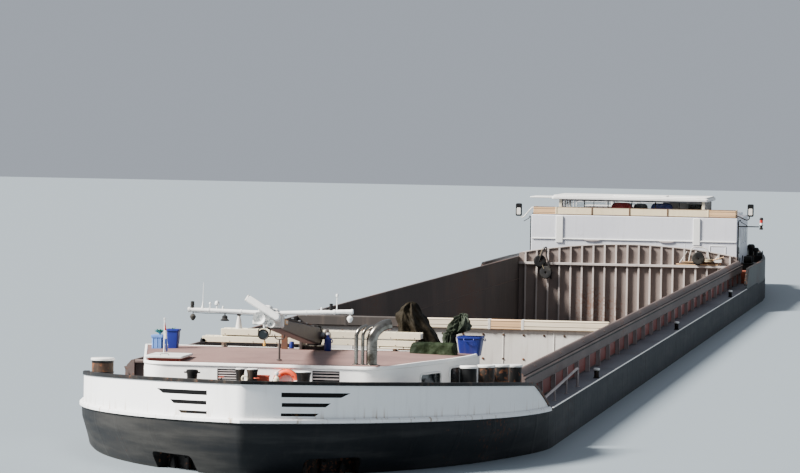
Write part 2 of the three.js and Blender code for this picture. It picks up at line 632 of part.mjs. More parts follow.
// Bulwark round the stern, from before the hold's aft end
const sternFrontY = 2700;
const sternRun = [sternFrontY, narrowFromY, 4110, 4400, 4650, 4850, 5000, 5200, 5360, sternY];
const sternBulwarkTopZ = deckZ + 88;
function sternOutline(inset, frontY) {
  const port = sternRun.map((y, i) => [deckHalfAt(y) - inset, i === sternRun.length - 1 ? y - inset : y]);
  port[0][1] = frontY;
  return [...port, ...port.map(([x, y]) => [-x, y]).reverse()];
}
function sternBulwark() {
  const outside = upwards(sternOutline(1, sternFrontY), deckZ + 8 + gap, sternBulwarkTopZ);
  const inside = upwards(sternOutline(8, sternFrontY - 10), deckZ, sternBulwarkTopZ + 10);
  const fromHull = upwards(sternOutline(1, holdAftY + 1), deckZ + gap, deckZ + 12);
  const hollow = upwards(sternOutline(8, holdAftY - 10), deckZ - 5, deckZ + 20);
  const slopeCut = alongX([[sternFrontY - 20, sternBulwarkTopZ + 5], [sternFrontY - 20, 370], [sternFrontY + 130, sternBulwarkTopZ + 5]], -700, 700);
  return joined(cut(outside, inside, slopeCut), cut(fromHull, hollow));
}
piece('stern_bulwark', sternBulwark(), 'bulwark');

// Propeller in its nozzle, and two rudders behind it

function propeller() {
  const hub = rod('y', 0, 0, 0, 17, hubLength, 20);
  const blades = [0, 1, 2, 3].map((i) => {
    const blade = new THREE.BoxGeometry(5, 34, 66);
    blade.rotateZ(0.6).translate(0, 0, 47).rotateY((i * Math.PI) / 2);
    return blade;
  });
  return joined(hub, ...blades);
}
const screw = piece('propeller', propeller(), 'bronze');
screw.position.set(0, propellerY, shaftZ);

const nozzleSection = [[90, -42], [104, -42], [104, 0], [96, 42], [90, 42], [90, -42]];
const nozzle = new THREE.LatheGeometry(nozzleSection.map(([r, y]) => new THREE.Vector2(r, y)), 32);
nozzle.translate(0, propellerY, shaftZ);
const headBox = box(-30, 30, propellerY - 34, propellerY + 30, shaftZ + 96, 220);
const hullBottomAbove = alongX([
  [4800, 131 - gap], [4850, 148 - gap], [5000, 208 - gap], [5200, 226 - gap], [5200, 300], [4800, 300],
], -200, 200);
piece('nozzle', cut(joined(nozzle, headBox), hullBottomAbove), 'hull');

const rudderY = 5155;
const rudderHalf = 62;
const rudderTopZ = 214;
for (const [side, word] of [[1, 'port'], [-1, 'starboard']]) {
  const blade = upwards([[0, -38], [7, -22], [8, 0], [5, 40], [0, 88], [-5, 40], [-8, 0], [-7, -22]], 14, rudderTopZ - 12);
  const stock = drum(0, 0, rudderTopZ - 13, rudderTopZ + 7, 7, 7, 16);
  const rudder = piece(`rudder_${word}`, joined(blade, stock), 'hull');
  rudder.position.set(side * rudderHalf, rudderY, 0);
}

// The aft deckhouse in four sections round the wheelhouse's well: x0, x1, y0, y1
const wellX = [-385, 315];
const wellY = [3880, 4340];
const houseSections = {
  aft_house_front: [-aftHouseHalf, aftHouseHalf, aftHouseFrontY, wellY[0]],
  aft_house_port: [wellX[1], aftHouseHalf, wellY[0] + gap, wellY[1] - gap],
  aft_house_starboard: [-aftHouseHalf, wellX[0], wellY[0] + gap, wellY[1] - gap],
  aft_house_rear: [-400, 400, wellY[1], 4880],
};
// the front wall has two pilasters, a shelf and two grips under it
const frontTrim = [
  box(-349, -317, aftHouseFrontY - 6, aftHouseFrontY + 1, 516, 636),
  box(264, 296, aftHouseFrontY - 6, aftHouseFrontY + 1, 516, 636),
  box(-456, 456, aftHouseFrontY - 5, aftHouseFrontY + 1, 531, 536),
  box(-222, -150, aftHouseFrontY - 8, aftHouseFrontY + 1, 524, 532),
  box(113, 180, aftHouseFrontY - 8, aftHouseFrontY + 1, 524, 532),
];
// the port light stands out on its arm, the starboard one is swung back along the wall
const sideLights = [
  box(459, 551, 3698, 3704, 600, 606), box(551, 569, 3690, 3712, 590, 645),
  box(-466, -459, 3698, 3845, 600, 606), box(-481, -463, 3838, 3860, 590, 645),
];
for (const [name, corners] of Object.entries(houseSections)) {
  const walls = box(...corners, deckZ + gap, aftRoofZ);
  const trim = name === 'aft_house_front' ? [...frontTrim, ...sideLights] : [];
  piece(name, joined(walls, ...trim), 'white');
}

// Shield of wood panels on the roof's front edge, with the mirrors' arms at its ends
const shieldTopZ = 674;
const mirror = (side, x, armZ, footZ, lowZ, highZ) => [
  bar([side * 448, aftHouseFrontY + 8, armZ], [side * (x - 6), aftHouseFrontY + 2, footZ], 2.5),
  bar([side * (x - 6), aftHouseFrontY + 2, footZ - 2], [side * (x - 6), aftHouseFrontY + 2, lowZ + 20], 2.5),
  box(side * x - 14, side * x + 14, aftHouseFrontY - 2, aftHouseFrontY + 5, lowZ, highZ),
];
piece('roof_shield', joined(
  box(-452, 452, aftHouseFrontY + 2, aftHouseFrontY + 7, aftRoofZ + gap, shieldTopZ),
  box(-452, -447, aftHouseFrontY + 2, aftHouseFrontY + 120, aftRoofZ + gap, shieldTopZ),
  box(447, 452, aftHouseFrontY + 2, aftHouseFrontY + 120, aftRoofZ + gap, shieldTopZ),
  ...mirror(1, 517, 652, 644, 648, 704), ...mirror(-1, 517, 668, 626, 631, 684),
), 'beige');

// Wheelhouse, lowered into its well

const cabin = { x: [-365, 295], y: [3900, 4310], z: [444, 700], wall: 8 };
function wheelhouse() {
  const { x: [x0, x1], y: [y0, y1], z: [z0, z1], wall } = cabin;
  const sillZ = 588;
  const headZ = z1 - 8;
  const tools = [box(x0 + wall, x1 - wall, y0 + wall, y1 - wall, z0 + wall, z1 + 5)];
  const across = 6;
  const pane = (x1 - x0 - 2 * wall) / across;
  for (let i = 0; i < across; i += 1) {
    const left = x0 + wall + i * pane + 4;
    tools.push(box(left, left + pane - 8, y0 - 5, y0 + wall + 5, sillZ, headZ));
    if (i < 4) tools.push(box(left, left + pane - 8, y1 - wall - 5, y1 + 5, sillZ, headZ));
  }
  tools.push(box(x1 - wall - 108, x1 - wall - 18, y1 - wall - 5, y1 + 5, z0 + wall, headZ));
  const along = 4;
  const sidePane = (y1 - y0 - 2 * wall) / along;
  for (let i = 0; i < along; i += 1) {
    const front = y0 + wall + i * sidePane + 4;
    tools.push(box(x0 - 5, x1 + 5, front, front + sidePane - 8, sillZ, headZ));
  }
  return cut(box(x0, x1, y0, y1, z0, z1), ...tools);
}
piece('wheelhouse_cabin', wheelhouse(), 'white');
piece('wheelhouse_roof', joined(
  box(-398, 312, 3884, 4328, 700 + gap, 720),
  box(-120, 120, 3920, 4060, 719, 727),
  box(-502, -397, 3930, 4160, 704, 710),
), 'white');
const ramHalf = shaftHalf - gap;
piece('wheelhouse_ram', box(
  liftX - ramHalf, liftX + ramHalf, liftY - ramHalf, liftY + ramHalf, 60, cabin.z[0] - gap,
), 'steel');
piece('wheelhouse_door', box(cabin.x[1] - 122, cabin.x[1] - 20, 4310 + gap, 4315, 454, 692), 'white');
piece('helm_console', joined(
  box(-150, 80, 3935, 3985, 452 + gap, 545), box(-60, -10, 4040, 4090, 452 + gap, 500),
  box(-60, -10, 3980, 4045, 452 + gap, 460),
), 'dark');

// Fittings on the aft deck: winch, and a door in the house's rear wall
const winchY = 5150;
piece('stern_winch', joined(
  box(250, 420, winchY - 50, winchY + 50, deckZ + gap, deckZ + 8),
  box(262, 272, winchY - 34, winchY + 34, deckZ + 6, deckZ + 70),
  box(398, 408, winchY - 34, winchY + 34, deckZ + 6, deckZ + 70),
  rod('x', 335, winchY, deckZ + 46, 22, 150, 20), rod('x', 335, winchY, deckZ + 46, 40, 8, 20),
), 'dark');
piece('aft_house_door', box(-150, -80, 4880 + gap, 4884, deckZ + 12, deckZ + 205), 'white');

export default model;
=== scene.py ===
# An inland bulk carrier at 1:10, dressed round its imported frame.
# Metres. +X is port, +Y is aft, +Z is up, and the water's surface is at z = 0.272.
# Lists of points are given in millimetres, inside mm( ).
import json
import math
import bmesh
import bpy
import numpy as np
from mathutils import Matrix, Vector

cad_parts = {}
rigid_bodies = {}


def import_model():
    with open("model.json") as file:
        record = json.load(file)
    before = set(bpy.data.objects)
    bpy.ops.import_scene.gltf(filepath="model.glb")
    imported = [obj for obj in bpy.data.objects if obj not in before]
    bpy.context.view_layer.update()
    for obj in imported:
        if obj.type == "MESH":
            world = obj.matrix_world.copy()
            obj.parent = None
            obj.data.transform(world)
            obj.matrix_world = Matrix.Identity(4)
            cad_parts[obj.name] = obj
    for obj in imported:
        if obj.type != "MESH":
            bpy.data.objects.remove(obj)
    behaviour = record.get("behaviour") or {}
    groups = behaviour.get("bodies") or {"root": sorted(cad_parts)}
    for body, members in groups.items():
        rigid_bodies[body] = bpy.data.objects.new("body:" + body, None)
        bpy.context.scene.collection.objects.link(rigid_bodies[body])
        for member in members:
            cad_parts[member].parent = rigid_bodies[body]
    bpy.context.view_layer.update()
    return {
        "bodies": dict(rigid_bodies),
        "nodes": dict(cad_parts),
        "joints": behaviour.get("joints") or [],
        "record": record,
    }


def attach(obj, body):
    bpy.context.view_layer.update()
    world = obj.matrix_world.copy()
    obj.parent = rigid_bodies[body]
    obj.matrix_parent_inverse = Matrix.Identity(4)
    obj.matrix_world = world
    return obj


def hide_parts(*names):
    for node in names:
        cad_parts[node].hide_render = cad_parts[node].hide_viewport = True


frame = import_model()
print("frame loaded:", len(frame["nodes"]), "nodes")

# The ship's main sizes, the same as the solids have
ship = {
    "stemY": -5.5, "waterline": 0.272, "holdFrontY": -4.4, "holdAftY": 3.4, "holdHalf": 0.48,
    "coamingFrontY": -4.42, "bay": 0.2843, "bays": 27, "roofZ": 0.512,
}

# Camera, solved from the straight lines of the coamings and hull
camera = {
    "place": (1.6967, -14.2581, 1.0939), "focalPixels": 4032.06, "imageWidth": 800,
    "yaw": 0.15238, "pitch": 0.031263, "roll": 0.016821,
}


# The camera's axes from its yaw, pitch and roll, and its lens from the focal length in pixels
def addCamera():
    yaw, pitch, roll = camera["yaw"], camera["pitch"], camera["roll"]
    ahead = Vector((-math.sin(yaw) * math.cos(pitch), math.cos(yaw) * math.cos(pitch), -math.sin(pitch)))
    level = Vector((math.cos(yaw), math.sin(yaw), 0))
    upright = level.cross(ahead)
    right = level * math.cos(roll) + upright * math.sin(roll)
    up = upright * math.cos(roll) - level * math.sin(roll)
    data = bpy.data.cameras.new("camera")
    data.sensor_width = 36
    data.lens = 36 * camera["focalPixels"] / camera["imageWidth"]
    data.clip_end = 100
    holder = bpy.data.objects.new("camera", data)
    turn = Matrix((right, up, -ahead)).transposed().to_4x4()
    holder.matrix_world = Matrix.Translation(camera["place"]) @ turn
    bpy.context.scene.collection.objects.link(holder)
    bpy.context.scene.camera = holder


addCamera()

# Surfaces. A part is a pair of arrays, its points (n, 3) and its faces (m, 4), where a triangle
# repeats its last corner.


# Neighbouring rows and columns of a (rows, columns, 3) array make quads. wrap joins the last
# column to the first, and caps closes the first and last rows with fans round their mean points.
def grid(points, wrap=False, caps=""):
    rows, columns = points.shape[:2]
    here = np.arange(columns if wrap else columns - 1)
    beside = (here + 1) % columns
    first = np.arange(rows - 1)[:, None] * columns
    quads = np.stack([first + here, first + beside, first + columns + beside, first + columns + here],
        axis=-1)
    flat = points.reshape(-1, 3)
    faces = [quads.reshape(-1, 4)]
    for word, row in (("first", 0), ("last", rows - 1)):
        if word in caps:
            middle = np.full(len(here), len(flat))
            start = row * columns
            faces.append(np.stack([start + here, start + beside, middle, middle], axis=-1))
            flat = np.concatenate([flat, points[row].mean(0)[None]])
    return flat, np.concatenate(faces)


# Several parts as one: the faces' numbers go up by the count of the points before them
def joinParts(parts):
    starts = np.cumsum([0] + [len(points) for points, _ in parts[:-1]])
    points = np.concatenate([points for points, _ in parts])
    faces = np.concatenate([faces + start for (_, faces), start in zip(parts, starts)])
    return points, faces


# Each point of an anticlockwise outline moves inward along the mean of its two edges' normals
def inset(outline, distance):
    edge = np.roll(outline, -1, axis=0) - outline
    edge = edge / np.linalg.norm(edge, axis=1, keepdims=True)
    normal = np.stack([-edge[:, 1], edge[:, 0]], axis=1)
    before = np.roll(normal, 1, axis=0)
    return outline + distance * (normal + before) / (1 + (normal * before).sum(1))[:, None]


# An outline of x and z, set across the ship at one y
def atY(outline, y):
    return np.column_stack([outline[:, 0], np.full(len(outline), y), outline[:, 1]])


# Points given in millimetres, in metres
def mm(points):
    return [tuple(value / 1000 for value in point) for point in points]


axisOrder = {"x": (2, 0, 1), "y": (0, 2, 1), "z": (0, 1, 2)}


# An anticlockwise outline carried from low to high along an axis, its rims drawn in by edge
def slab(outline, low, high, edge=0.0008, axis="z"):
    outline = np.asarray(outline, float)
    inner = inset(outline, edge)
    rows = [np.column_stack([ring, np.full(len(ring), level)])[:, axisOrder[axis]] for ring,
        level in ((inner, low), (outline, low + edge), (outline, high - edge), (inner, high))]
    return grid(np.stack(rows), wrap=True, caps="first last")


# A rectangle whose corners are arcs of one radius
def rounded(u0, u1, v0, v1, radius, steps=4):
    turn = np.linspace(0, math.pi / 2, steps)
    middles = ((u1 - radius, v1 - radius), (u0 + radius, v1 - radius), (u0 + radius, v0 + radius),
        (u1 - radius, v0 + radius))
    arcs = [np.column_stack([u + radius * np.cos(turn + k * math.pi / 2),
        v + radius * np.sin(turn + k * math.pi / 2)]) for k, (u, v) in enumerate(middles)]
    return np.concatenate(arcs)


# A box with its edges cut off: a rounded rectangle of two steps to a corner, carried up
def box(x0, x1, y0, y1, z0, z1, edge=0.0008):
    edge = min(edge, 0.3 * min(x1 - x0, y1 - y0, z1 - z0))
    return slab(rounded(x0, x1, y0, y1, edge, 2), z0, z1, edge)


# A circle as a polygon of so many sides, anticlockwise
def circle(radius, sides=12):
    turn = np.arange(sides) * 2 * math.pi / sides
    return np.column_stack([radius * np.cos(turn), radius * np.sin(turn)])


# A closed outline (m, 2) carried along a path (n, 3), scaled at each step. Its first axis lies
# across the path and level with up, its second rises square to both. An open pipe turns back
# into itself at its last end and is closed inside.
def sweep(path, outline, up=(0, 0, 1), scale=1.0, openEnd=False):
    path = np.asarray(path, float)
    outline = np.asarray(outline, float)
    along = np.gradient(path, axis=0)
    along = along / np.linalg.norm(along, axis=1, keepdims=True)
    across = np.cross(along, up)
    across = across / np.linalg.norm(across, axis=1, keepdims=True)
    rise = np.cross(across, along)
    scale = np.broadcast_to(np.asarray(scale, float), len(path))[:, None, None]
    points = path[:, None] + scale * (outline[None, :, :1] * across[:, None]
        + outline[None, :, 1:] * rise[:, None])
    if openEnd:
        points = np.concatenate([points, path[-1] + 0.82 * (points[-1:] - path[-1]),
            path[-3] + 0.82 * (points[-3:-2] - path[-3])])
    return grid(points, wrap=True, caps="first last")


# A straight round rod or cone between two points
def rod(start, end, radius, sides=12, endRadius=None):
    start, end = np.asarray(start, float), np.asarray(end, float)
    up = (0, 0, 1) if abs((end - start)[2]) < 0.9 * np.linalg.norm(end - start) else (0, 1, 0)
    return sweep(np.stack([start, end]), circle(radius, sides), up, (1, (endRadius or radius) / radius))


# A smooth curve through a few points: a Catmull-Rom spline, sampled evenly in its parameter
def smooth(points, count=40):
    points = np.asarray(points, float)
    padded = np.concatenate([2 * points[:1] - points[1:2], points, 2 * points[-1:] - points[-2:-1]])
    place = np.linspace(0, len(points) - 1, count)
    k = np.minimum(place.astype(int), len(points) - 2)
    t = (place - k)[:, None]
    a, b, c, d = padded[k], padded[k + 1], padded[k + 2], padded[k + 3]
    return 0.5 * (2 * b + (c - a) * t + (2 * a - 5 * b + 4 * c - d) * t ** 2
        + (3 * b - a - 3 * c + d) * t ** 3)


# A profile of (radius, height) turned round an axis through a centre
def lathe(profile, centre, axis="z", sides=32):
    profile = np.asarray(profile, float)
    turn = np.arange(sides) * 2 * math.pi / sides
    radius, height = profile[:, :1], np.repeat(profile[:, 1:], sides, axis=1)
    rows = np.stack([radius * np.cos(turn), radius * np.sin(turn), height], axis=-1)
    return grid(rows[:, :, axisOrder[axis]] + np.asarray(centre, float), wrap=True, caps="first last")


# A ring of round section: a circle of one radius carries a circle of another
def ringPart(centre, axis, radius, section, sides=32, around=12):
    turn = (np.arange(sides + 1) * 2 * math.pi / sides)[:, None]
    small = (np.arange(around) * 2 * math.pi / around)[None]
    out = radius + section * np.cos(small)
    rows = np.stack([out * np.cos(turn), out * np.sin(turn), section * np.sin(small) + 0 * turn], axis=-1)
    return grid(rows[:, :, axisOrder[axis]] + np.asarray(centre, float), wrap=True)


# Copies of a part, each moved by one row of offsets
def repeated(part, offsets):
    points, faces = part
    offsets = np.asarray(offsets, float)
    starts = np.arange(len(offsets))[:, None, None] * len(points)
    return (points[None] + offsets[:, None]).reshape(-1, 3), (faces[None] + starts).reshape(-1, 4)


# A part turned about a line through a centre, by an angle in radians
def turned(part, angle, axis, centre=(0, 0, 0)):
    turn = np.array(Matrix.Rotation(angle, 3, axis))
    return (part[0] - centre) @ turn.T + centre, part[1]


# A part shifted along X, Y and Z
def moved(part, *offset):
    return part[0] + np.asarray(offset, float), part[1]


# A part mirrored to the other side of the ship
def mirrored(part):
    return part[0] * (-1, 1, 1), part[1]


# Parts together with their mirror images
def bothSides(*parts):
    return list(parts) + [mirrored(part) for part in parts]


# A piece's items as drawn to port, or mirrored to starboard
def onSide(side, items):
    return items if side > 0 else [(mirrored(part), number) for part, number in items]


# Joins parts into one mesh. An item is a part, or a pair of a part and its finish's number.
def makeMesh(name, items, finishes, angle):
    items = [item if isinstance(item[1], int) else (item, 0) for item in items]
    points, faces = joinParts([part for part, _ in items])
    numbers = np.concatenate([np.full(len(part[1]), number) for part, number in items])
    keep = np.ones(faces.shape, bool)
    keep[:, 3] = faces[:, 3] != faces[:, 2]
    sizes = keep.sum(1)
    mesh = bpy.data.meshes.new(name)
    mesh.vertices.add(len(points))
    mesh.vertices.foreach_set("co", points.astype(np.float32).ravel())
    mesh.loops.add(int(sizes.sum()))
    mesh.loops.foreach_set("vertex_index", faces[keep].astype(np.int32))
    mesh.polygons.add(len(faces))
    mesh.polygons.foreach_set("loop_start", (np.cumsum(sizes) - sizes).astype(np.int32))
    mesh.polygons.foreach_set("material_index", numbers.astype(np.int32))
    mesh.update(calc_edges=True)
    mesh.validate()
    for one in finishes:
        mesh.materials.append(one)
    # doubles are welded and the faces turned outward
    edit = bmesh.new()
    edit.from_mesh(mesh)
    bmesh.ops.remove_doubles(edit, verts=edit.verts, dist=2e-6)
    bmesh.ops.dissolve_degenerate(edit, edges=edit.edges, dist=1e-6)
    bmesh.ops.recalc_face_normals(edit, faces=edit.faces)
    edit.to_mesh(mesh)
    edit.free()
    mesh.shade_smooth()
    mesh.set_sharp_from_angle(angle=math.radians(angle))
    return mesh


# Takes cutters out of a piece; a cutter's finish number colours the faces that it leaves
def cutAway(piece, cutters, finishes, angle):
    tool = bpy.data.objects.new("cutter", makeMesh("cutter", cutters, finishes, angle))
    bpy.context.scene.collection.objects.link(tool)
    cut = piece.modifiers.new("cut", "BOOLEAN")
    cut.object = tool
    cut.solver = "EXACT"
    cut.use_self = True  # the cutters of one piece may cross each other
    bpy.context.view_layer.update()
    done = bpy.data.meshes.new_from_object(piece.evaluated_get(bpy.context.evaluated_depsgraph_get()))
    piece.modifiers.clear()
    piece.data = done
    done.shade_smooth()
    done.set_sharp_from_angle(angle=math.radians(angle))
    bpy.data.objects.remove(tool)


# A piece with its finishes, which are named in the order of the items' numbers
def addPiece(name, items, looks, body="ship", replaces=(), angle=32, cutters=()):
    finishes = [finish[look] for look in looks.split()]
    piece = bpy.data.objects.new(name, makeMesh(name, items, finishes, angle))
    bpy.context.scene.collection.objects.link(piece)
    if cutters:
        cutAway(piece, cutters, finishes, angle)
    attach(piece, body)
    if replaces:
        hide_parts(*replaces)
    return piece


# Shader maths. A Wire is a socket on which sums and products read as plain arithmetic.
class Wire:
    def __init__(self, tree, socket):
        self.tree = tree
        self.socket = socket

    # any other node: its type, its settings, the values or links of its sockets, and which output
    def node(self, kind, settings, sockets, output=0):
        made = self.tree.nodes.new(kind)
        for key, value in settings.items():
            setattr(made, key, value)
        for key, value in sockets.items():
            if isinstance(value, Wire):
                self.tree.links.new(value.socket, made.inputs[key])
            else:
                made.inputs[key].default_value = value
        return Wire(self.tree, made.outputs[output])

    def maths(self, operation, *others):
        return self.node("ShaderNodeMath", {"operation": operation}, dict(enumerate((self, *others))))

    def __add__(self, other):
        return self.maths("ADD", other)

    def __sub__(self, other):
        return self.maths("SUBTRACT", other)

    def __mul__(self, other):
        return self.maths("MULTIPLY", other)

    def __rsub__(self, other):
        return self.node("ShaderNodeMath", {"operation": "SUBTRACT"}, {0: other, 1: self})

    __radd__ = __add__
    __rmul__ = __mul__

    # 0 below low and 1 above high, with a soft step between
    def rise(self, low, high):
        return self.node("ShaderNodeMapRange", {"interpolation_type": "SMOOTHSTEP"},
            {"Value": self, "From Min": low, "From Max": high})

    # 1 from low to high, falling off over a soft width outside them
    def within(self, low, high, soft=0.0004):
        return self.rise(low - soft, low) * (1 - self.rise(high, high + soft))

    # the first colour where this mask is 0, the second where it is 1
    def between(self, first, second):
        first, second = [(*c, 1) if isinstance(c, tuple) and len(c) == 3 else c for c in (first, second)]
        return self.node("ShaderNodeMix", {"data_type": "RGBA"}, {0: self, 6: first, 7: second}, 2)

    def stretched(self, *scale):
        return self.node("ShaderNodeVectorMath", {"operation": "MULTIPLY"}, {0: self, 1: scale})

    def noise(self, scale, detail=3.0, rough=0.55):
        return self.node("ShaderNodeTexNoise", {},
            {"Vector": self, "Scale": scale, "Detail": detail, "Roughness": rough})

    def axis(self, letter):
        return self.node("ShaderNodeSeparateXYZ", {}, {0: self}, "xyz".index(letter))


# A coat is a finish before it reaches the shader: colour, rough, metal, and height in metres


# Paint on steel: two tones drifting over the plate, runs of grime down it, and rust where the
# drift and a fine grain are both high
def paintCoat(place, look):
    drift = place.noise(look.get("drift", 3.0), 4.0)
    grain = place.noise(look.get("grain", 90.0))
    runs = place.stretched(60.0, 60.0, 5.0).noise(1.0)
    colour = drift.rise(0.4, 0.62).between(look["colour"], look["second"])
    grime = runs.rise(0.5, 0.78) * look.get("grime", 0.35)
    colour = grime.between(colour, look.get("grimeColour", (0.15, 0.12, 0.1)))
    worn = (drift * 0.5 + grain * 0.5).rise(look.get("wearFrom", 0.6), look.get("wearFrom", 0.6) + 0.05)
    worn = worn * look.get("rust", 0.5)
    return {
        "colour": worn.between(colour, look.get("rustColour", (0.17, 0.065, 0.03))),
        "rough": look["rough"] + worn * 0.25 + grain * 0.12,
        "metal": look.get("metal", 0.0),
        "height": (grain * 0.4 + drift) * look.get("bump", 0.0008),
    }


# Lays one coat over another where a mask is 1
def overCoat(mask, under, over):
    def fade(a, b):
        return a if isinstance(a, float) and a == b else mask * (b - a) + a
    return {
        "colour": mask.between(under["colour"], over["colour"]),
        "rough": fade(under["rough"], over["rough"]),
        "metal": fade(under["metal"], over["metal"]),
        "height": fade(under["height"], over["height"]),
    }


# A coat repainted with one colour, keeping its roughness and height
def tinted(mask, coat, colour):
    return {**coat, "colour": mask.between(coat["colour"], colour)}


finish = {}


# A finish from a function that is given the object coordinates and returns a coat
def addFinish(name, coatOf, shine=0.5, **constants):
    material = bpy.data.materials.new(name)
    material.use_nodes = True
    tree = material.node_tree
    shader = tree.nodes["Principled BSDF"]
    coat = coatOf(Wire(tree, tree.nodes.new("ShaderNodeTexCoord").outputs["Object"]))
    bump = coat["height"].node("ShaderNodeBump", {}, {"Height": coat["height"], "Distance": 1.0})
    wanted = {"Base Color": coat["colour"], "Roughness": coat["rough"], "Metallic": coat["metal"],
        "Normal": bump}
    for key, value in {**wanted, "Specular IOR Level": shine, **constants}.items():
        if isinstance(value, Wire):
            tree.links.new(value.socket, shader.inputs[key])
        else:
            shader.inputs[key].default_value = value
    finish[name] = material


# A paint: its two close tones, how rough it is, and what differs from plain paint
def paint(colour, second, rough, **more):
    return {"colour": colour, "second": second, "rough": rough, **more}


paints = {
    "white": paint((0.78, 0.78, 0.76), (0.7, 0.7, 0.68), 0.34, grime=0.16, wearFrom=0.64, rust=0.5,
        bump=0.0006),
    "whitePlate": paint((0.66, 0.64, 0.6), (0.56, 0.54, 0.51), 0.5, grime=0.35, wearFrom=0.58),
    "brightWhite": paint((0.95, 0.94, 0.91), (0.91, 0.9, 0.87), 0.5, grime=0.06, wearFrom=0.7, rust=0.3),
    "hullDark": paint((0.0075, 0.009, 0.011), (0.013, 0.015, 0.018), 0.62, grime=0.3,
        grimeColour=(0.024, 0.023, 0.022), drift=1.4, wearFrom=0.6, rust=0.35),
    "deckGrey": paint((0.135, 0.14, 0.165), (0.1, 0.105, 0.13), 0.6, grime=0.3, wearFrom=0.6),
    "roofRed": paint((0.2, 0.115, 0.1), (0.155, 0.088, 0.078), 0.7, grime=0.25,
        grimeColour=(0.3, 0.23, 0.205), drift=7.0, wearFrom=0.62, bump=0.0005),
    "coamingBrown": paint((0.085, 0.06, 0.054), (0.115, 0.085, 0.078), 0.6, shine=0.3, grime=0.4,
        wearFrom=0.57),
    "panelRed": paint((0.27, 0.045, 0.028), (0.2, 0.034, 0.022), 0.55, grime=0.25, wearFrom=0.6),
    "stayGrey": paint((0.4, 0.35, 0.34), (0.32, 0.28, 0.275), 0.55, shine=0.3, grime=0.35, wearFrom=0.6),
    "holdBrown": paint((0.04, 0.033, 0.03), (0.07, 0.056, 0.05), 0.8, grime=0.5,
        grimeColour=(0.11, 0.085, 0.07), wearFrom=0.56, rust=0.4, drift=1.6),
    "bulkheadPink": paint((0.225, 0.18, 0.16), (0.18, 0.14, 0.125), 0.65, grime=0.4, wearFrom=0.6),
    "blackSteel": paint((0.00836, 0.00874, 0.0095), (0.01368, 0.0133, 0.0133), 0.42, shine=0.12, grime=0.35,
        grimeColour=(0.14, 0.1, 0.07), wearFrom=0.58, rust=0.6),
    "rustySteel": paint((0.032, 0.023, 0.018), (0.085, 0.045, 0.028), 0.7, shine=0.2, grime=0.5,
        grimeColour=(0.25, 0.18, 0.12), wearFrom=0.52, rust=0.8, drift=12.0),
    "mastTaupe": paint((0.066, 0.053, 0.049), (0.052, 0.042, 0.039), 0.42, shine=0.25, grime=0.15,
        wearFrom=0.68),
    "cream": paint((0.74, 0.67, 0.5), (0.66, 0.59, 0.44), 0.45, grime=0.2, wearFrom=0.64),
    "signalRed": paint((0.52, 0.07, 0.03), (0.42, 0.05, 0.025), 0.45, grime=0.2, wearFrom=0.64),
    "orange": paint((0.82, 0.085, 0.022), (0.72, 0.07, 0.02), 0.5, grime=0.15, rust=0.0),
    "blue": paint((0.008, 0.018, 0.19), (0.006, 0.014, 0.14), 0.4, shine=0.35, grime=0.15, rust=0.0),
    "paleBlue": paint((0.1, 0.22, 0.55), (0.08, 0.19, 0.48), 0.45, grime=0.2, rust=0.0),
    "bareSteel": paint((0.32, 0.32, 0.33), (0.26, 0.26, 0.27), 0.3, metal=0.85, grime=0.3),
    "rust": paint((0.16, 0.075, 0.04), (0.11, 0.05, 0.03), 0.75, grime=0.3, wearFrom=0.55),
    "amber": paint((0.7, 0.36, 0.05), (0.6, 0.3, 0.05), 0.3, grime=0.3, rust=0.0),
    "ribPale": paint((0.5, 0.45, 0.42), (0.42, 0.37, 0.35), 0.6, grime=0.35, wearFrom=0.6),
    "dividerWhite": paint((0.62, 0.6, 0.56), (0.54, 0.51, 0.47), 0.65, grime=0.35, wearFrom=0.63, rust=0.6),
    "engineGreen": paint((0.05, 0.13, 0.09), (0.04, 0.1, 0.07), 0.4, grime=0.5, wearFrom=0.6),
    "houseWhite": paint((0.62, 0.63, 0.68), (0.57, 0.58, 0.63), 0.4, grime=0.14, wearFrom=0.66, rust=0.4),
    "sternWhite": paint((0.05, 0.06, 0.064), (0.036, 0.045, 0.049), 0.5, shine=0.15, grime=0.3,
        wearFrom=0.6),
    "panelOrange": paint((0.36, 0.07, 0.025), (0.28, 0.055, 0.02), 0.5, grime=0.3, wearFrom=0.6),
    "creamPanel": paint((0.78, 0.66, 0.44), (0.7, 0.58, 0.38), 0.5, grime=0.15, rust=0.0),
    "woodDark": paint((0.11, 0.055, 0.03), (0.08, 0.04, 0.022), 0.5, grime=0.2, rust=0.0),
    "lining": paint((0.7, 0.68, 0.64), (0.62, 0.6, 0.56), 0.6, grime=0.1, rust=0.0),
    "redLens": paint((0.6, 0.02, 0.015), (0.5, 0.02, 0.012), 0.15, grime=0.1, rust=0.0),
    "greenLens": paint((0.02, 0.4, 0.12), (0.02, 0.33, 0.1), 0.15, grime=0.1, rust=0.0),
    "bronze": paint((0.42, 0.24, 0.09), (0.34, 0.21, 0.09), 0.32, metal=0.9, grime=0.3, rust=0.0),
}
for paintName, paintLook in paints.items():
    addFinish(paintName, lambda place, look=paintLook: paintCoat(place, look), paintLook.get("shine", 0.5))


# Bright pipe steel with smears
def chromeCoat(place):
    smear = place.noise(30.0, 4.0)
    return {"colour": smear.rise(0.4, 0.7).between((0.3, 0.28, 0.25), (0.07, 0.058, 0.042)),
            "rough": smear * 0.25 + 0.1, "metal": 1.0, "height": smear * 0.0004}


# Black rubber, dusty in patches
def rubberCoat(place):
    grain = place.noise(160.0)
    return {"colour": place.noise(14.0).rise(0.42, 0.7).between((0.014, 0.014, 0.015), (0.05, 0.046, 0.04)),
            "rough": grain * 0.2 + 0.6, "metal": 0.0, "height": grain * 0.0008}


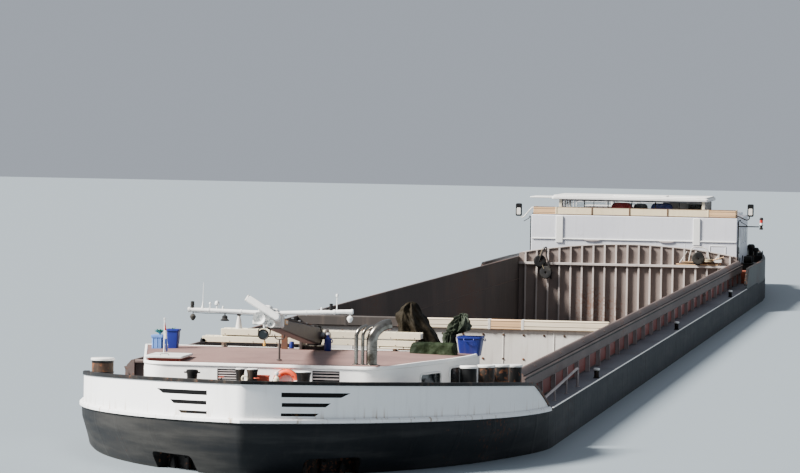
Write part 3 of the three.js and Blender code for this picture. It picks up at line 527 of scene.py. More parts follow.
# Laid rope: slanted strands from a wave across X and Z, darker down in the grooves between them as painted
# shade
def ropeCoat(place):
    strand = place.node("ShaderNodeTexWave", {"bands_direction": "DIAGONAL"},
        {"Vector": place, "Scale": 90.0, "Distortion": 1.5}, 1)
    return {"colour": strand.between((0.2, 0.15, 0.09), (0.42, 0.34, 0.22)), "rough": strand * 0.1 + 0.8,
            "metal": 0.0, "height": strand * 0.0012}


# Window glass: near black, with pale patches painted on it that stand for reflections and for the room
# behind
def glassCoat(place):
    patches = place.stretched(22.0, 22.0, 40.0).noise(1.0, 2.0)
    smear = place.noise(60.0)
    return {"colour": patches.rise(0.48, 0.66).between((0.012, 0.016, 0.018), (0.13, 0.14, 0.15)),
            "rough": smear * 0.12 + 0.03, "metal": 0.0, "height": smear * 0.0001}


# Planks along X: each board has its own tone, with grain stretched along it and dark joints
def plankCoat(light, dark, width, grime=0.3):
    def coatOf(place):
        across = (place.axis("z") + place.axis("y")) * (1 / width)
        joint = across.maths("FRACT").within(0.06, 0.94, 0.03)
        grain = place.stretched(6.0, 160.0, 160.0).noise(1.0, 4.0)
        tone = (across.maths("FLOOR") * 3.7).maths("SINE") * 0.5 + 0.5
        colour = (grain * 0.7 + tone * 0.3).rise(0.3, 0.7).between(dark, light)
        stain = place.noise(7.0, 4.0).rise(0.52, 0.7) * grime
        colour = stain.between(colour, (0.1, 0.075, 0.055))
        return {"colour": joint.between((0.06, 0.045, 0.03), colour), "rough": grain * 0.2 + 0.6,
                "metal": 0.0, "height": grain * 0.0006 + joint * 0.001}
    return coatOf


# Woven tarpaulin: fine threads, creases from a stretched noise, faded in patches
def tarpCoat(first, second):
    def coatOf(place):
        weave = place.noise(420.0, 1.0)
        crease = place.noise(26.0, 5.0, 0.6)
        colour = place.noise(11.0, 4.0).rise(0.38, 0.62).between(first, second)
        dust = crease.rise(0.58, 0.78) * 0.16
        return {"colour": dust.between(colour, (0.2, 0.18, 0.13)), "rough": weave * 0.15 + 0.62,
            "metal": 0.0,
                "height": weave * 0.0003 + crease * 0.006}
    return coatOf


# Leaves, paler toward some tips
def leafCoat(place):
    tone = place.noise(120.0)
    return {"colour": tone.rise(0.4, 0.65).between((0.03, 0.16, 0.11), (0.1, 0.38, 0.3)),
        "rough": tone * 0.2 + 0.4,
            "metal": 0.0, "height": tone * 0.0004}


lifebuoy = {"centre": (0.06, -5.262, 0.472), "radius": 0.024, "thick": 0.0065}


# Lifebuoy: orange with a white band at each quarter
def buoyCoat(place):
    coat = paintCoat(place, paints["orange"])
    x, _, z = lifebuoy["centre"]
    around = (place.axis("z") - z).maths("ARCTAN2", place.axis("x") - x)
    return tinted((around * 2.0).maths("COSINE").rise(0.86, 0.9), coat, (0.8, 0.79, 0.75))


# Three plain bands of flag cloth, one below another, over a fine weave
def flagCoat(place):
    weave = place.noise(600.0, 1.0)
    level = place.axis("z")
    upper = level.rise(0.5735, 0.5745)
    lower = 1 - level.rise(0.5535, 0.5545)
    colour = lower.between(upper.between((0.78, 0.76, 0.74), (0.62, 0.1, 0.08)), (0.1, 0.16, 0.45))
    return {"colour": colour, "rough": weave * 0.1 + 0.8, "metal": 0.0, "height": weave * 0.0003}


# Upholstery: a fine weave in two close tones
def seatCoat(first, second):
    def coatOf(place):
        weave = place.noise(500.0, 1.0)
        return {"colour": place.noise(30.0).rise(0.4, 0.6).between(first, second),
            "rough": weave * 0.1 + 0.8, "metal": 0.0, "height": weave * 0.0004}
    return coatOf


addFinish("seatRed", seatCoat((0.42, 0.03, 0.03), (0.34, 0.025, 0.025)))
addFinish("seatBlue", seatCoat((0.03, 0.05, 0.25), (0.025, 0.04, 0.19)))
addFinish("clearGlass", glassCoat, Alpha=0.12)
addFinish("leaf", leafCoat)
addFinish("buoy", buoyCoat)
addFinish("flag", flagCoat)
addFinish("chrome", chromeCoat)
addFinish("rubber", rubberCoat, 0.15)
addFinish("rope", ropeCoat)
addFinish("glass", glassCoat)
addFinish("paleWood", plankCoat((0.8, 0.7, 0.54), (0.66, 0.54, 0.38), 0.015, 0.2))
addFinish("orangeWood", plankCoat((0.74, 0.47, 0.25), (0.62, 0.38, 0.19), 0.017, 0.15))
addFinish("tarpGreen", tarpCoat((0.007, 0.012, 0.005), (0.018, 0.027, 0.012)), 0.1)
addFinish("tarpOlive", tarpCoat((0.018, 0.024, 0.015), (0.06, 0.072, 0.054)), 0.1)
addFinish("tarpBrown", tarpCoat((0.006, 0.005, 0.003), (0.022, 0.017, 0.01)), 0.1)
print("finishes made:", len(finish))

# The stage: a plain pale floor at the waterline and soft light from the starboard bow
stage = {
    "floorSize": 60.0, "floorColour": (0.21, 0.25, 0.28), "floorRough": 0.6,
    "sun": 16.0, "sunFrom": (-0.75, -0.36, 0.7), "sunSize": 14, "sunColour": (1.0, 0.965, 0.91),
    "sky": 0.5, "skyColour": (0.8, 0.88, 1.0, 1),
}


# Floor, sun and sky
def addStage():
    half = stage["floorSize"] / 2
    level = ship["waterline"]
    # the floor stops at the hold's walls, so that the hold isn't filled to the waterline
    side, front, back = ship["holdHalf"], ship["holdFrontY"], ship["holdAftY"]
    hole = [(-side, front), (side, front), (side, back), (-side, back)]
    corners = [(-half, -half), (half, -half), (half, half), (-half, half)]
    mesh = bpy.data.meshes.new("floor")
    mesh.from_pydata([(x, y, level) for x, y in corners + hole], [],
        [(k, (k + 1) % 4, 4 + (k + 1) % 4, 4 + k) for k in range(4)])
    floor = bpy.data.objects.new("floor", mesh)
    material = bpy.data.materials.new("floor")
    material.use_nodes = True
    shader = material.node_tree.nodes["Principled BSDF"]
    shader.inputs["Base Color"].default_value = (*stage["floorColour"], 1)
    shader.inputs["Roughness"].default_value = stage["floorRough"]
    mesh.materials.append(material)
    bpy.context.scene.collection.objects.link(floor)
    sun = bpy.data.lights.new("key", "SUN")
    sun.energy = stage["sun"]
    sun.angle = math.radians(stage["sunSize"])
    sun.color = stage["sunColour"]
    lamp = bpy.data.objects.new("key", sun)
    lamp.rotation_euler = Vector(stage["sunFrom"]).to_track_quat("Z", "Y").to_euler()
    bpy.context.scene.collection.objects.link(lamp)
    world = bpy.data.worlds.new("studio")
    world.use_nodes = True
    sky = world.node_tree.nodes["Background"]
    sky.inputs["Color"].default_value = stage["skyColour"]
    sky.inputs["Strength"].default_value = stage["sky"]
    bpy.context.scene.world = world


addStage()
print("stage and camera set")

# The bow

bow = {
    "rows": 22, "columns": 201, "stemRake": 0.45, "railThick": 0.0047, "wall": 0.008,
    # speed stripes: inner end, tip, tip's slant, top and bottom below the bulwark's top
    "stripes": [(0.0845, 0.2215, 1.75, 0.0205, 0.0305), (0.0855, 0.1835, 1.2, 0.0435, 0.052),
        (0.084, 0.16, 1.2, 0.0665, 0.073)],
}


# Share of the way from the bow's shoulder to the stem
def towardStem(y):
    return np.clip((ship["holdFrontY"] - y) / 1.1, 0, 1)


# Height of the white paint's lower edge, which rises toward the stem by a power of 1.2
def boundaryZ(y):
    return 0.363 + 0.031 * towardStem(y) ** 1.2


# Height of the bulwark's top: a power of 0.8 toward the stem, and a straight ramp down aft
def bulwarkTopZ(y):
    return np.minimum(0.422 + 0.063 * towardStem(y) ** 0.8, 0.424 - 0.3625 * (y + 4.59))


# Height of the fore deck, which keeps the bulwark's sheer
def foreDeckZ(y):
    return 0.378 + 0.063 * towardStem(y) ** 0.8


# Plan of the bow at one level, from starboard round the stem to port, evenly spaced along it:
# a cubic Bezier curve that leaves the stem square to the keel and reaches its half width aft
def bowPlan(half=0.5725, setback=0.0, inward=0.0, endY=-4.4, count=201):
    t = np.linspace(0, 1, 500)
    stretch = 1 - setback / 1.1
    start, wide = ship["stemY"] + setback + inward, half - inward
    x = 3 * (1 - t) ** 2 * t * 0.454 * wide + 3 * (1 - t) * t ** 2 * wide + t ** 3 * wide
    y = (1 - t) ** 3 * start + 3 * (1 - t) ** 2 * t * (start + 0.09 * stretch)
    y = y + 3 * (1 - t) * t ** 2 * (start + 0.5 * stretch) + t ** 3 * ship["holdFrontY"]
    length = np.concatenate([[0], np.cumsum(np.hypot(np.diff(x), np.diff(y)))])
    last = np.interp(endY, y, length)
    even = np.linspace(-last, last, count)
    return np.sign(even) * np.interp(abs(even), length, x), np.interp(abs(even), length, y)


# The bow below its white paint. The stem's setback is 0.45 (1 - z / 0.394) ^ 1.75, the bilge is an
# arc, and above the water the levels rise with the sheer of the paint's edge. Between the shoulder
# and the stem the sides lean in below the paint's edge by up to 0.07 of the width.
def bowHullPart():
    stemZ = np.concatenate([0.04 * (1 - np.cos(np.linspace(0, math.pi / 2, 7))),
        np.linspace(0.055, 0.394, bow["rows"])])
    rows = []
    for z in stemZ:
        half = 0.5325 + math.sqrt(max(0, 0.04 ** 2 - (0.04 - min(z, 0.04)) ** 2))
        x, y = bowPlan(half, bow["stemRake"] * max(0, 1 - z / 0.394) ** 1.75, count=bow["columns"])
        ahead = np.clip((-4.42 - y) / 0.45, 0, 1)
        x = x * (1 - 0.045 * min(1.6, max(0, (0.365 - z) / 0.093)) * ahead ** 2 * (3 - 2 * ahead))
        share = max(0, (z - 0.272) / 0.122)
        rows.append(np.column_stack([x, y, min(z, 0.272) + share * (boundaryZ(y) - 0.272)]))
    centre = [row * (0, 1, 1) for row in (rows[0], rows[-1])]
    return grid(np.stack([centre[0], *rows, centre[1]]), wrap=True)


# A wall along the bow: a section of (distance inward, height above its low or high edge)
def bowWall(inward, thick, lowZ, highZ, endY, edge=0.0012):
    section = ((0, 0, 0), (0, 1, -edge), (edge, 1, 0), (thick - edge, 1, 0), (thick, 1, -edge),
        (thick, 0, 0))
    columns = []
    for depth, top, lift in section:
        x, y = bowPlan(inward=inward + depth, endY=endY)
        columns.append(np.column_stack([x, y, (highZ(y) if top else lowZ(y)) + lift]))
    return grid(np.stack(columns, axis=1), wrap=True, caps="first last")


# White bow paint with black speed stripes, and rust along its lower edge
def bulwarkCoat(place):
    coat = paintCoat(place,
        {**paints["white"], "colour": (0.88, 0.885, 0.885), "second": (0.84, 0.85, 0.85), "grime": 0.1,
        "wearFrom": 0.7})
    x, y, z = (place.axis(letter) for letter in "xyz")
    toStem = ((-4.4 - y) * (1 / 1.1)).maths("MAXIMUM", 0.0001)
    drop = toStem.maths("POWER", 0.8) * 0.063 + 0.422 - z
    side = x.maths("ABSOLUTE")
    for inner, tip, slant, top, bottom in bow["stripes"]:
        end = tip + top * slant
        stripe = drop.within(top, bottom, 0.0003) * side.rise(inner - 0.0003,
            inner) * (1 - (side + drop * slant).rise(end, end + 0.0005))
        coat = tinted(stripe, coat, (0.002, 0.002, 0.0022))
    low = z - toStem.maths("POWER", 1.2) * 0.031 - 0.363
    streak = place.stretched(70.0, 70.0, 4.0).noise(1.0, 4.0)
    rust = (1 - low.rise(0.002, 0.045)) * streak.rise(0.56, 0.72) * 0.75
    return tinted(rust, coat, (0.3, 0.17, 0.06))


# Dark hull paint, greyer and scuffed toward the waterline, with a weed line under it, and lighter in
# patches on the starboard side as painted sunlight
def hullCoat(place):
    coat = paintCoat(place, paints["hullDark"])
    z = place.axis("z")
    scuffAndSunPatches = place.stretched(3.0, 3.0, 30.0).noise(1.0, 4.0)
    # lighter patches on the starboard side only: painted sunlight on the lit side
    coat = tinted((1 - place.axis("x").rise(-0.1, 0.06)) * scuffAndSunPatches.rise(0.3, 0.6) * 0.8, coat,
        (0.027, 0.0265, 0.025))
    coat = tinted(place.axis("y").rise(-4.6, -3.6) * 0.8, coat, (0.022, 0.027, 0.033))
    frameMark = (place.axis("y") * (1 / 0.1422)).maths("FRACT").within(0.47, 0.53, 0.05)
    dent = place.stretched(5.0, 5.0, 9.0).noise(1.0, 3.0)
    coat = {**coat, "height": coat["height"] + frameMark * 0.0007 + dent * 0.004}
    coat = tinted(z.within(0.285, 0.36, 0.03) * scuffAndSunPatches.rise(0.46, 0.7) * 0.3, coat, (0.06, 0.06, 0.058))
    return tinted((1 - (z + scuffAndSunPatches * 0.02).rise(0.268, 0.292)) * 0.6, coat, (0.03, 0.028, 0.018))


# The hull's paint on the blocks under the aft house, whose tops are deck
def sternHullCoat(place):
    deck = place.axis("z").rise(0.3592, 0.3598)
    return overCoat(deck, hullCoat(place), paintCoat(place, paints["deckGrey"]))


# The hold's floor: worn plate with pale dust in patches
def holdFloorCoat(place):
    coat = paintCoat(place, paints["holdBrown"])
    dust = place.noise(2.6, 6.0, 0.65).rise(0.44, 0.62) * (place.noise(45.0, 3.0).rise(0.35, 0.6) * 0.5
        + 0.5)
    seam = (place.axis("y") * (1 / 0.6)).maths("FRACT").within(0.004, 0.996, 0.004)
    coat = tinted(dust * 0.85, coat, (0.115, 0.078, 0.055))
    coat = {**coat, "height": coat["height"] + dust * 0.003 + seam * 0.001}
    return overCoat(place.axis("z").rise(0.042, 0.046), hullCoat(place), coat)


addFinish("bulwark", bulwarkCoat, 0.12)
addFinish("hull", hullCoat, 0.14)
addFinish("sternHull", sternHullCoat, 0.14)
addFinish("holdFloor", holdFloorCoat)

# Anchor pockets lie along the hull at each side; the thruster's tunnel runs across
pocket = {"x": 0.172, "y": -5.332, "turn": 0.66, "depth": 0.035, "z": 0.278}


# The bow: hull with its holes, bulwark, cap rail, ledge and brackets
def addBow():
    cutters = []
    for side in (-1, 1):
        hole = slab(rounded(-0.075, 0.075, -0.033, 0.033, 0.012), -pocket["depth"], pocket["depth"], 0.002,
            "y")
        cutters.append((moved(turned(hole, side * pocket["turn"], "Z"), side * pocket["x"], pocket["y"],
            pocket["z"]), 1))
    cutters.append((rod((-0.65, -4.7, 0.11), (0.65, -4.7, 0.11), 0.042, 40), 1))
    addPiece("bowHull", [bowHullPart()], "hull blackSteel", replaces=["hull_bow"],
        cutters=cutters, angle=44)
    addPiece("bowBulwark",
        [bowWall(0.004, bow["wall"], lambda y: boundaryZ(y) + 0.0003, bulwarkTopZ, -4.45)], "bulwark",
        replaces=["bow_bulwark"], angle=44)
    rail = bowWall(0.001, 0.013, lambda y: bulwarkTopZ(y) - 0.0035, lambda y: bulwarkTopZ(y) + 0.0003
        + bow["railThick"], -4.44, 0.0018)
    addPiece("bowCapRail", [rail], "blackSteel", replaces=["bow_cap_rail"])
    ledge = bowWall(-0.0055, 0.0115, lambda y: boundaryZ(y) + 0.002, lambda y: boundaryZ(y) + 0.012, -4.47,
        0.004)
    addPiece("bowLedge", [ledge], "bulwark", replaces=["bow_strake"])
    # brackets inside the bulwark, from the deck to under the rail
    x, y = bowPlan(inward=0.0125, endY=-4.64, count=25)
    brackets = []
    for k in (2, 4, 6, 8, 10, 14, 16, 18, 20, 22):
        plate = slab([[0, 0], [0.02, 0], [0.004, 0.036], [0, 0.036]], -0.0015, 0.0015, 0.0004, "y")
        ahead = math.atan2(y[k + 1] - y[k - 1], x[k + 1] - x[k - 1])
        brackets.append(moved(turned(plate, ahead + math.pi / 2, "Z"), x[k], y[k], float(foreDeckZ(y[k]))
            + 0.0004))
    addPiece("bulwarkBrackets", brackets, "white")


addBow()
print("bow made")

# Fore deckhouse

house = {"frontY": -5.255, "aftY": -4.61, "sideLength": 0.611, "wallTop": 0.504, "camber": 0.008,
    "lip": 0.0025}


# Distance of a side wall from the middle, and its lean: with s running forward from the aft wall,
# 0.415 - 0.132 s ^ 1.8 to port and 0.408 - 0.130 s to starboard
def sideWallAt(y, side=1):
    length = house["sideLength"]
    s = (house["aftY"] - y) / length
    if side > 0:
        return 0.415 - 0.132 * s ** 1.8, np.arctan(0.132 * 1.8 * s ** 0.8 / length)
    return 0.408 - 0.13 * s, np.arctan(0.13 / length) + 0 * s


# Plan of the house, anticlockwise: a flat front, a corner that is a parabola, the sides, a flat back
def housePlan(grow=0.0):
    y = house["aftY"] - house["sideLength"] * np.linspace(0.9656, 0, 40)
    t = np.linspace(0, 1, 9)[:-1, None]
    halves = []
    for side, knee in ((1, 0.2745), (-1, 0.268)):
        wall = np.column_stack([sideWallAt(y, side)[0], y])
        corner = (1 - t) ** 2 * [0.225, house["frontY"]] + 2 * t * (1 - t) * [knee,
            house["frontY"]] + t ** 2 * wall[0]
        halves.append(np.concatenate([corner, wall]))
    return inset(np.concatenate([halves[0], halves[1][::-1] * (-1, 1)]), -grow)


# The roof's camber: highest on the middle line, level along the front edge
def roofZ(x, y):
    ramp = np.clip((y + 5.25) / 0.25, 0, 1)
    return ship["roofZ"] + house["camber"] * (1 - (x / 0.422) ** 2) * ramp ** 2 * (3 - 2 * ramp)


# Windows in the house's walls: middle along Y, half length, low and high edge, corner radius
houseWindows = mm([(-5008.5, 60, 444, 486, 11), (-4838, 60, 442, 492, 11)])


# The fore deckhouse: walls on its plan, windows and grilles cut in, and the cambered roof
def addHouse():
    plan = housePlan()
    levels = [foreDeckZ(plan[:, 1]) + 0.0004, 0.46 + 0 * plan[:, 0], house["wallTop"] + 0 * plan[:, 0]]
    walls = grid(np.stack([np.column_stack([plan, level]) for level in levels]), wrap=True,
        caps="first last")
    cutters, trim = [], []
    for y, half, low, high, radius in houseWindows:
        outline = rounded(-half, half, low, high, radius, 5)
        hole = slab(outline, -0.006, 0.02, 0.0005, "x")
        closed = np.concatenate([outline, outline[:2]])
        rim = sweep(np.column_stack([0 * closed[:, 0], closed]), circle(0.0028, 6), (1, 0, 0))
        for side in (1, -1):
            x, lean = sideWallAt(y, side)
            for part, pieces in ((hole, cutters), (rim, trim)):
                placed = moved(turned(part, -lean, "Z"), x, y, 0)
                placed = placed if side > 0 else mirrored(placed)
                pieces.append((placed, 1) if part is hole else placed)
    slats = []
    for x0, x1, z0, z1 in ((-0.102, -0.056, 0.474, 0.499), (0.118, 0.181, 0.47, 0.5)):
        cutters.append((box(x0, x1, -5.3, house["frontY"] + 0.006, z0, z1), 1))
        for z in np.linspace(z0 + 0.004, z1 - 0.004, 4):
            slat = box(x0 + 0.001, x1 - 0.001, -5.2545, -5.2498, z - 0.0008, z + 0.0008, 0.0003)
            slats.append((turned(slat, 0.5, "X", (0, -5.252, z)), 1))
    addPiece("foreHouseWalls", [walls], "brightWhite glass", replaces=["fore_deckhouse"],
        cutters=cutters)
    addPiece("foreHouseTrim", trim + slats, "white stayGrey")
    # the roof: a white lip round a cambered red deck
    def ring(grow, z=None, scale=1.0):
        outline = np.array([0, -4.93]) + (housePlan(grow) - [0, -4.93]) * scale
        level = np.full(len(outline), z) if z else roofZ(outline[:, 0], outline[:, 1]) - (0.0012
            if grow < -house["lip"] else 0)
        return np.column_stack([outline, level])
    inner = -house["lip"] - 0.0008
    lip = [ring(0.0005, 0.5043), ring(0.002, 0.5048), ring(0.003, 0.5058), ring(0.003, 0.5095), ring(0.002),
        ring(-house["lip"]), ring(inner)]
    red = [ring(inner, scale=scale) for scale in (1, 0.9, 0.75, 0.55, 0.3, 0.02)]
    hatch = (box(-0.264, -0.202, -5.214, -5.122, 0.5056, 0.54), 2)
    addPiece("foreRoof", [(grid(np.stack(lip), wrap=True, caps="first"), 0),
        (grid(np.stack(red), wrap=True, caps="last"), 1)], "brightWhite roofRed glass",
        replaces=["fore_roof"], cutters=[hatch])


addHouse()
print("fore deckhouse made")

# Gear on the fore roof

roofGear = {
    "lid": (-0.278, -0.188, -5.228, -5.108, 0.5176, 0.5236),
    "hatch": (-0.264, -0.202, -5.214, -5.122),
    # each exhaust pipe's place along X, radius and height above the roof
    "pipes": mm([(214, 4.7, 95), (229, 4, 94), (250, 12.6, 108)]), "pipesY": -5.23,
    "staff": (-0.263, -5.083, 0.603),
}


# The skylight with its lid, and three bent exhaust pipes
def addRoofGear():
    x0, x1, y0, y1, z0, z1 = roofGear["lid"]
    hx0, hx1, hy0, hy1 = roofGear["hatch"]
    wall, low, high = 0.008, 0.5115, 0.517
    curb = [box(hx0 - wall, hx0, hy0 - wall, hy1 + wall, low, high),
        box(hx1, hx1 + wall, hy0 - wall, hy1 + wall, low, high),
        box(hx0, hx1, hy0 - wall, hy0, low, high),
        box(hx0, hx1, hy1, hy1 + wall, low, high)]
    hinges = [rod((x - 0.006, hy1 + 0.0015, high - 0.0006), (x + 0.006, hy1 + 0.0015, high - 0.0006),
        0.0008, 10) for x in (x0 + 0.02, x1 - 0.02)]
    addPiece("skylightCoaming", [(part, 0) for part in curb] + [(part, 1) for part in hinges],
        "panelRed bareSteel", replaces=["skylight_coaming"])
    leaf = slab(rounded(x0, x1, y0, y1, 0.006, 5), z0, z1, 0.0016)
    grip = sweep(smooth([(-0.243, -5.218, z1), (-0.241, -5.218, z1 + 0.004), (-0.225, -5.218, z1 + 0.004),
        (-0.223, -5.218, z1)], 12), circle(0.0009, 8), (0, 1, 0))
    # a dark red sheet under the lid stands for the shade under it: painted shade
    under = box(hx0 + 0.002, hx1 - 0.002, hy0 + 0.002, hy1 - 0.006, z0 - 0.0008, z0 + 0.001)
    addPiece("skylightLid", [(leaf, 0), (grip, 2), (under, 1)], "white panelRed bareSteel",
        body="skylight", replaces=["skylight_lid"])
    # exhaust pipes rise, bend over to port and end open
    pipes = []
    y = roofGear["pipesY"]
    for x, radius, height in roofGear["pipes"]:
        top = ship["roofZ"] + height - radius
        turn = 2.1 * radius + 0.014
        bend = np.linspace(0, 1.5, 9)
        path = [(x, y, 0.511), (x, y, 0.54)]
        path += [(x + turn * (1 - math.cos(t)), y + turn * 0.6 * (1 - math.cos(t)),
            top - turn * (1 - math.sin(t))) for t in bend]
        pipes.append((sweep(smooth(path, 44), circle(radius, 28), (0.57, -0.82, 0), openEnd=True), 0))
        flange = [(radius, 0.0), (radius + 0.004, 0.0), (radius + 0.004, 0.0025), (radius + 0.001, 0.0035),
            (radius, 0.0035)]
        pipes.append((lathe(flange, (x, y, 0.5135)), 0))
        pipes.append((lathe([(radius, 0), (radius + 0.0009, 0.0004), (radius + 0.0009, 0.003),
            (radius, 0.0034)], (x, y, 0.545)), 0))
    pipes.append((box(0.204, 0.268, y - 0.017, y + 0.017, 0.5115, 0.5146), 1))
    addPiece("exhaustPipes", pipes, "chrome roofRed", replaces=["exhausts"])


addRoofGear()

# The gangway stowed across the roof: ribbed planks on posts, a wheel at its end and a vent cowl behind
gangway = {
    "y": -4.66,
    # planks: x0, x1, half width, z0, z1
    "planks": mm([(-255, 268, 22, 525.5, 540), (-209, 280, 20, 543.2, 559), (171, 257, 26, 520, 523.5)]),
    "posts": (-0.205, -0.067, 0.215),
}


# The gangway's planks with their treads and bolts, its posts, wheel and cowl
def addGangway():
    y, cream, dark = gangway["y"], 0, 1
    items = []
    for x0, x1, half, z0, z1 in gangway["planks"]:
        rail = 0.0028
        items.append((box(x0, x1, y - half + rail, y + half - rail, z0 + 0.001, z1 - 0.0022), 2))
        items += [(box(x0, x1, y + side * (half - rail / 2) - rail / 2, y + side * (half - rail / 2)
            + rail / 2, z0, z1), cream) for side in (-1, 1)]
        tread = box(x0, x0 + 0.0022, y - half + rail, y + half - rail, z1 - 0.0024, z1 - 0.0006, 0.0004)
        items.append((repeated(tread, [(step, 0, 0) for step in np.arange(0.004, x1 - x0 - 0.004, 0.014)]),
            cream))
        bolt = rod((x0 + 0.01, y - half - 0.0006, z0 + 0.003), (x0 + 0.01, y - half + 0.001, z0 + 0.003),
            0.0011, 8)
        items.append((repeated(bolt, [(step, 0, 0) for step in np.arange(0, x1 - x0 - 0.015, 0.058)]),
            dark))
    for x in gangway["posts"]:
        items += [(box(x - 0.003, x + 0.003, y + side * 0.013 - 0.003, y + side * 0.013 + 0.003, 0.5125,
            0.5485), cream) for side in (-1, 1)]
        items.append((box(x - 0.006, x + 0.006, y - 0.019, y + 0.019, 0.512, 0.5148), dark))
    wheel = mm([(0, -22), (6, -22), (8.5, -20), (9, -16), (8.5, -12), (4, -10), (4, 10), (8.5, 12), (9, 16),
        (8.5, 20), (6, 22), (0, 22)])
    items.append((lathe(wheel, (-0.252, y, 0.528), "y", 28), 3))
    cone = mm([(8.2, 0), (7.8, 4), (5, 22), (3.4, 29), (3.4, 31)])
    items.append((lathe(cone, (-0.169, y, 0.5585), "z", 24), 2))
    cap = mm([(3.6, 0), (5.2, 1.5), (5.4, 6.5), (3.6, 9.5), (0, 10)])
    items.append((lathe(cap, (-0.169, y, 0.5893), "z", 24), dark))
    # a board that lies against the gangway
    items.append((turned(box(-0.046, -0.03, -4.757, -4.754, 0.5175, 0.5545), 0.12, "X", (0, -4.755, 0.516)),
        4))
    addPiece("stowedGangway", items, "cream blackSteel whitePlate rubber rust",
        replaces=["gangway"])


addGangway()


# A square tub: a rounded square grows from its foot to its rim, turns over and goes down inside
def tubPart(x, y, z0, z1, half, rimHalf, wall):
    deep = z1 - z0
    stations = [(half, z0), (half + 0.05 * (rimHalf - half), z0 + 0.002),
        (0.5 * (half + rimHalf), z0 + 0.5 * deep), (rimHalf - 0.0018, z1 - 0.005), (rimHalf, z1 - 0.0045),
        (rimHalf, z1 - 0.0006), (rimHalf - 0.0006, z1), (rimHalf - wall, z1),
        (rimHalf - wall - 0.0004, z1 - 0.001), (0.5 * (half + rimHalf) - wall, z0 + 0.5 * deep),
        (half - wall, z0 + 0.004)]
    rows = []
    for size, z in stations:
        outline = rounded(-size, size, -size, size, 0.22 * size, 6)
        rows.append(np.column_stack([outline[:, 0] + x, outline[:, 1] + y, np.full(len(outline), z)]))
    return grid(np.stack(rows), wrap=True, caps="first last")


# Leaves: bent strips that start together and spread out, each narrowing to its tip
def plantPart(x, y, z, height, leaves, seed):
    random = np.random.default_rng(seed)
    parts = []
    for turn in np.arange(leaves) * 2.4:
        reach, tall = height * random.uniform(0.35, 0.9), height * random.uniform(0.5, 1.0)
        t = np.linspace(0, 1, 7)[:, None]
        middle = np.array([math.cos(turn), math.sin(turn), 0]) * reach * t ** 1.4 + np.array([0, 0,
            1]) * tall * (t * 1.5 - 0.6 * t ** 2)
        width = (height * 0.16 * np.sin(math.pi * np.clip(t * 0.9 + 0.08, 0, 1)))
        side = np.array([-math.sin(turn), math.cos(turn), 0]) * width
        rows = np.stack([middle - side, middle + (0, 0, 0.0008), middle + side, middle - (0, 0, 0.0008)],
            axis=1)
        parts.append(moved(grid(rows, wrap=True, caps="first last"), x, y, z))
    return joinParts(parts)


tubs = {
    # x, y, foot's and rim's height, half width at the foot and at the rim, and the wall
    "small": (-0.303, -4.79, 0.5125, 0.561, 0.0105, 0.0158, 0.0022),
    "large": (0.396, -4.64, 0.5065, 0.553, 0.0235, 0.031, 0.0026),
    # the large tub's handles: x, y, turn
    "handles": ((0.396, -4.672, 0), (0.4285, -4.64, math.pi / 2)),
    # plants: x, y, z, height, how many leaves, seed
    "plants": ((-0.336, -4.79, 0.5455, 0.017, 26, 3), (-0.303, -4.79, 0.5575, 0.008, 9, 8)),
    "crateRibs": (-0.3495, -0.34, -0.3305),
}


# Two tubs, a crate and their plants
def addTubs():
    x, y = tubs["small"][:2]
    items = [(tubPart(*tubs["small"]), 0)]
    soil = mm([(12.5, 0), (11.5, 2.5), (6, 5), (0, 5.5)])
    items.append((lathe(soil, (x, y, 0.5525), "z", 20), 2))
    crate = slab(rounded(-0.353, -0.327, -4.806, -4.776, 0.003, 5), 0.5125, 0.545, 0.0012)
    ribs = [box(x - 0.0012, x + 0.0012, -4.8068, -4.7752, 0.515, 0.541) for x in tubs["crateRibs"]]
    items += [(part, 1) for part in [crate, box(-0.3545, -0.3255, -4.8075, -4.7745, 0.5395, 0.5462)] + ribs]
    items += [(plantPart(*plant), 3) for plant in tubs["plants"]]
    addPiece("starboardTubs", items, "blue paleBlue tarpBrown leaf",
        replaces=["roof_crates"])
    tub = [(tubPart(*tubs["large"]), 0)]
    handle = sweep(smooth(mm([(-12, 0, 548), (-10, -3, 543), (10, -3, 543), (12, 0, 548)]), 14),
        circle(0.0012, 8))
    for x, y, turn in tubs["handles"]:
        tub.append((moved(turned(handle, turn, "Z"), x, y, 0), 0))
    addPiece("portTub", tub, "blue", replaces=["port_tub"])


addTubs()

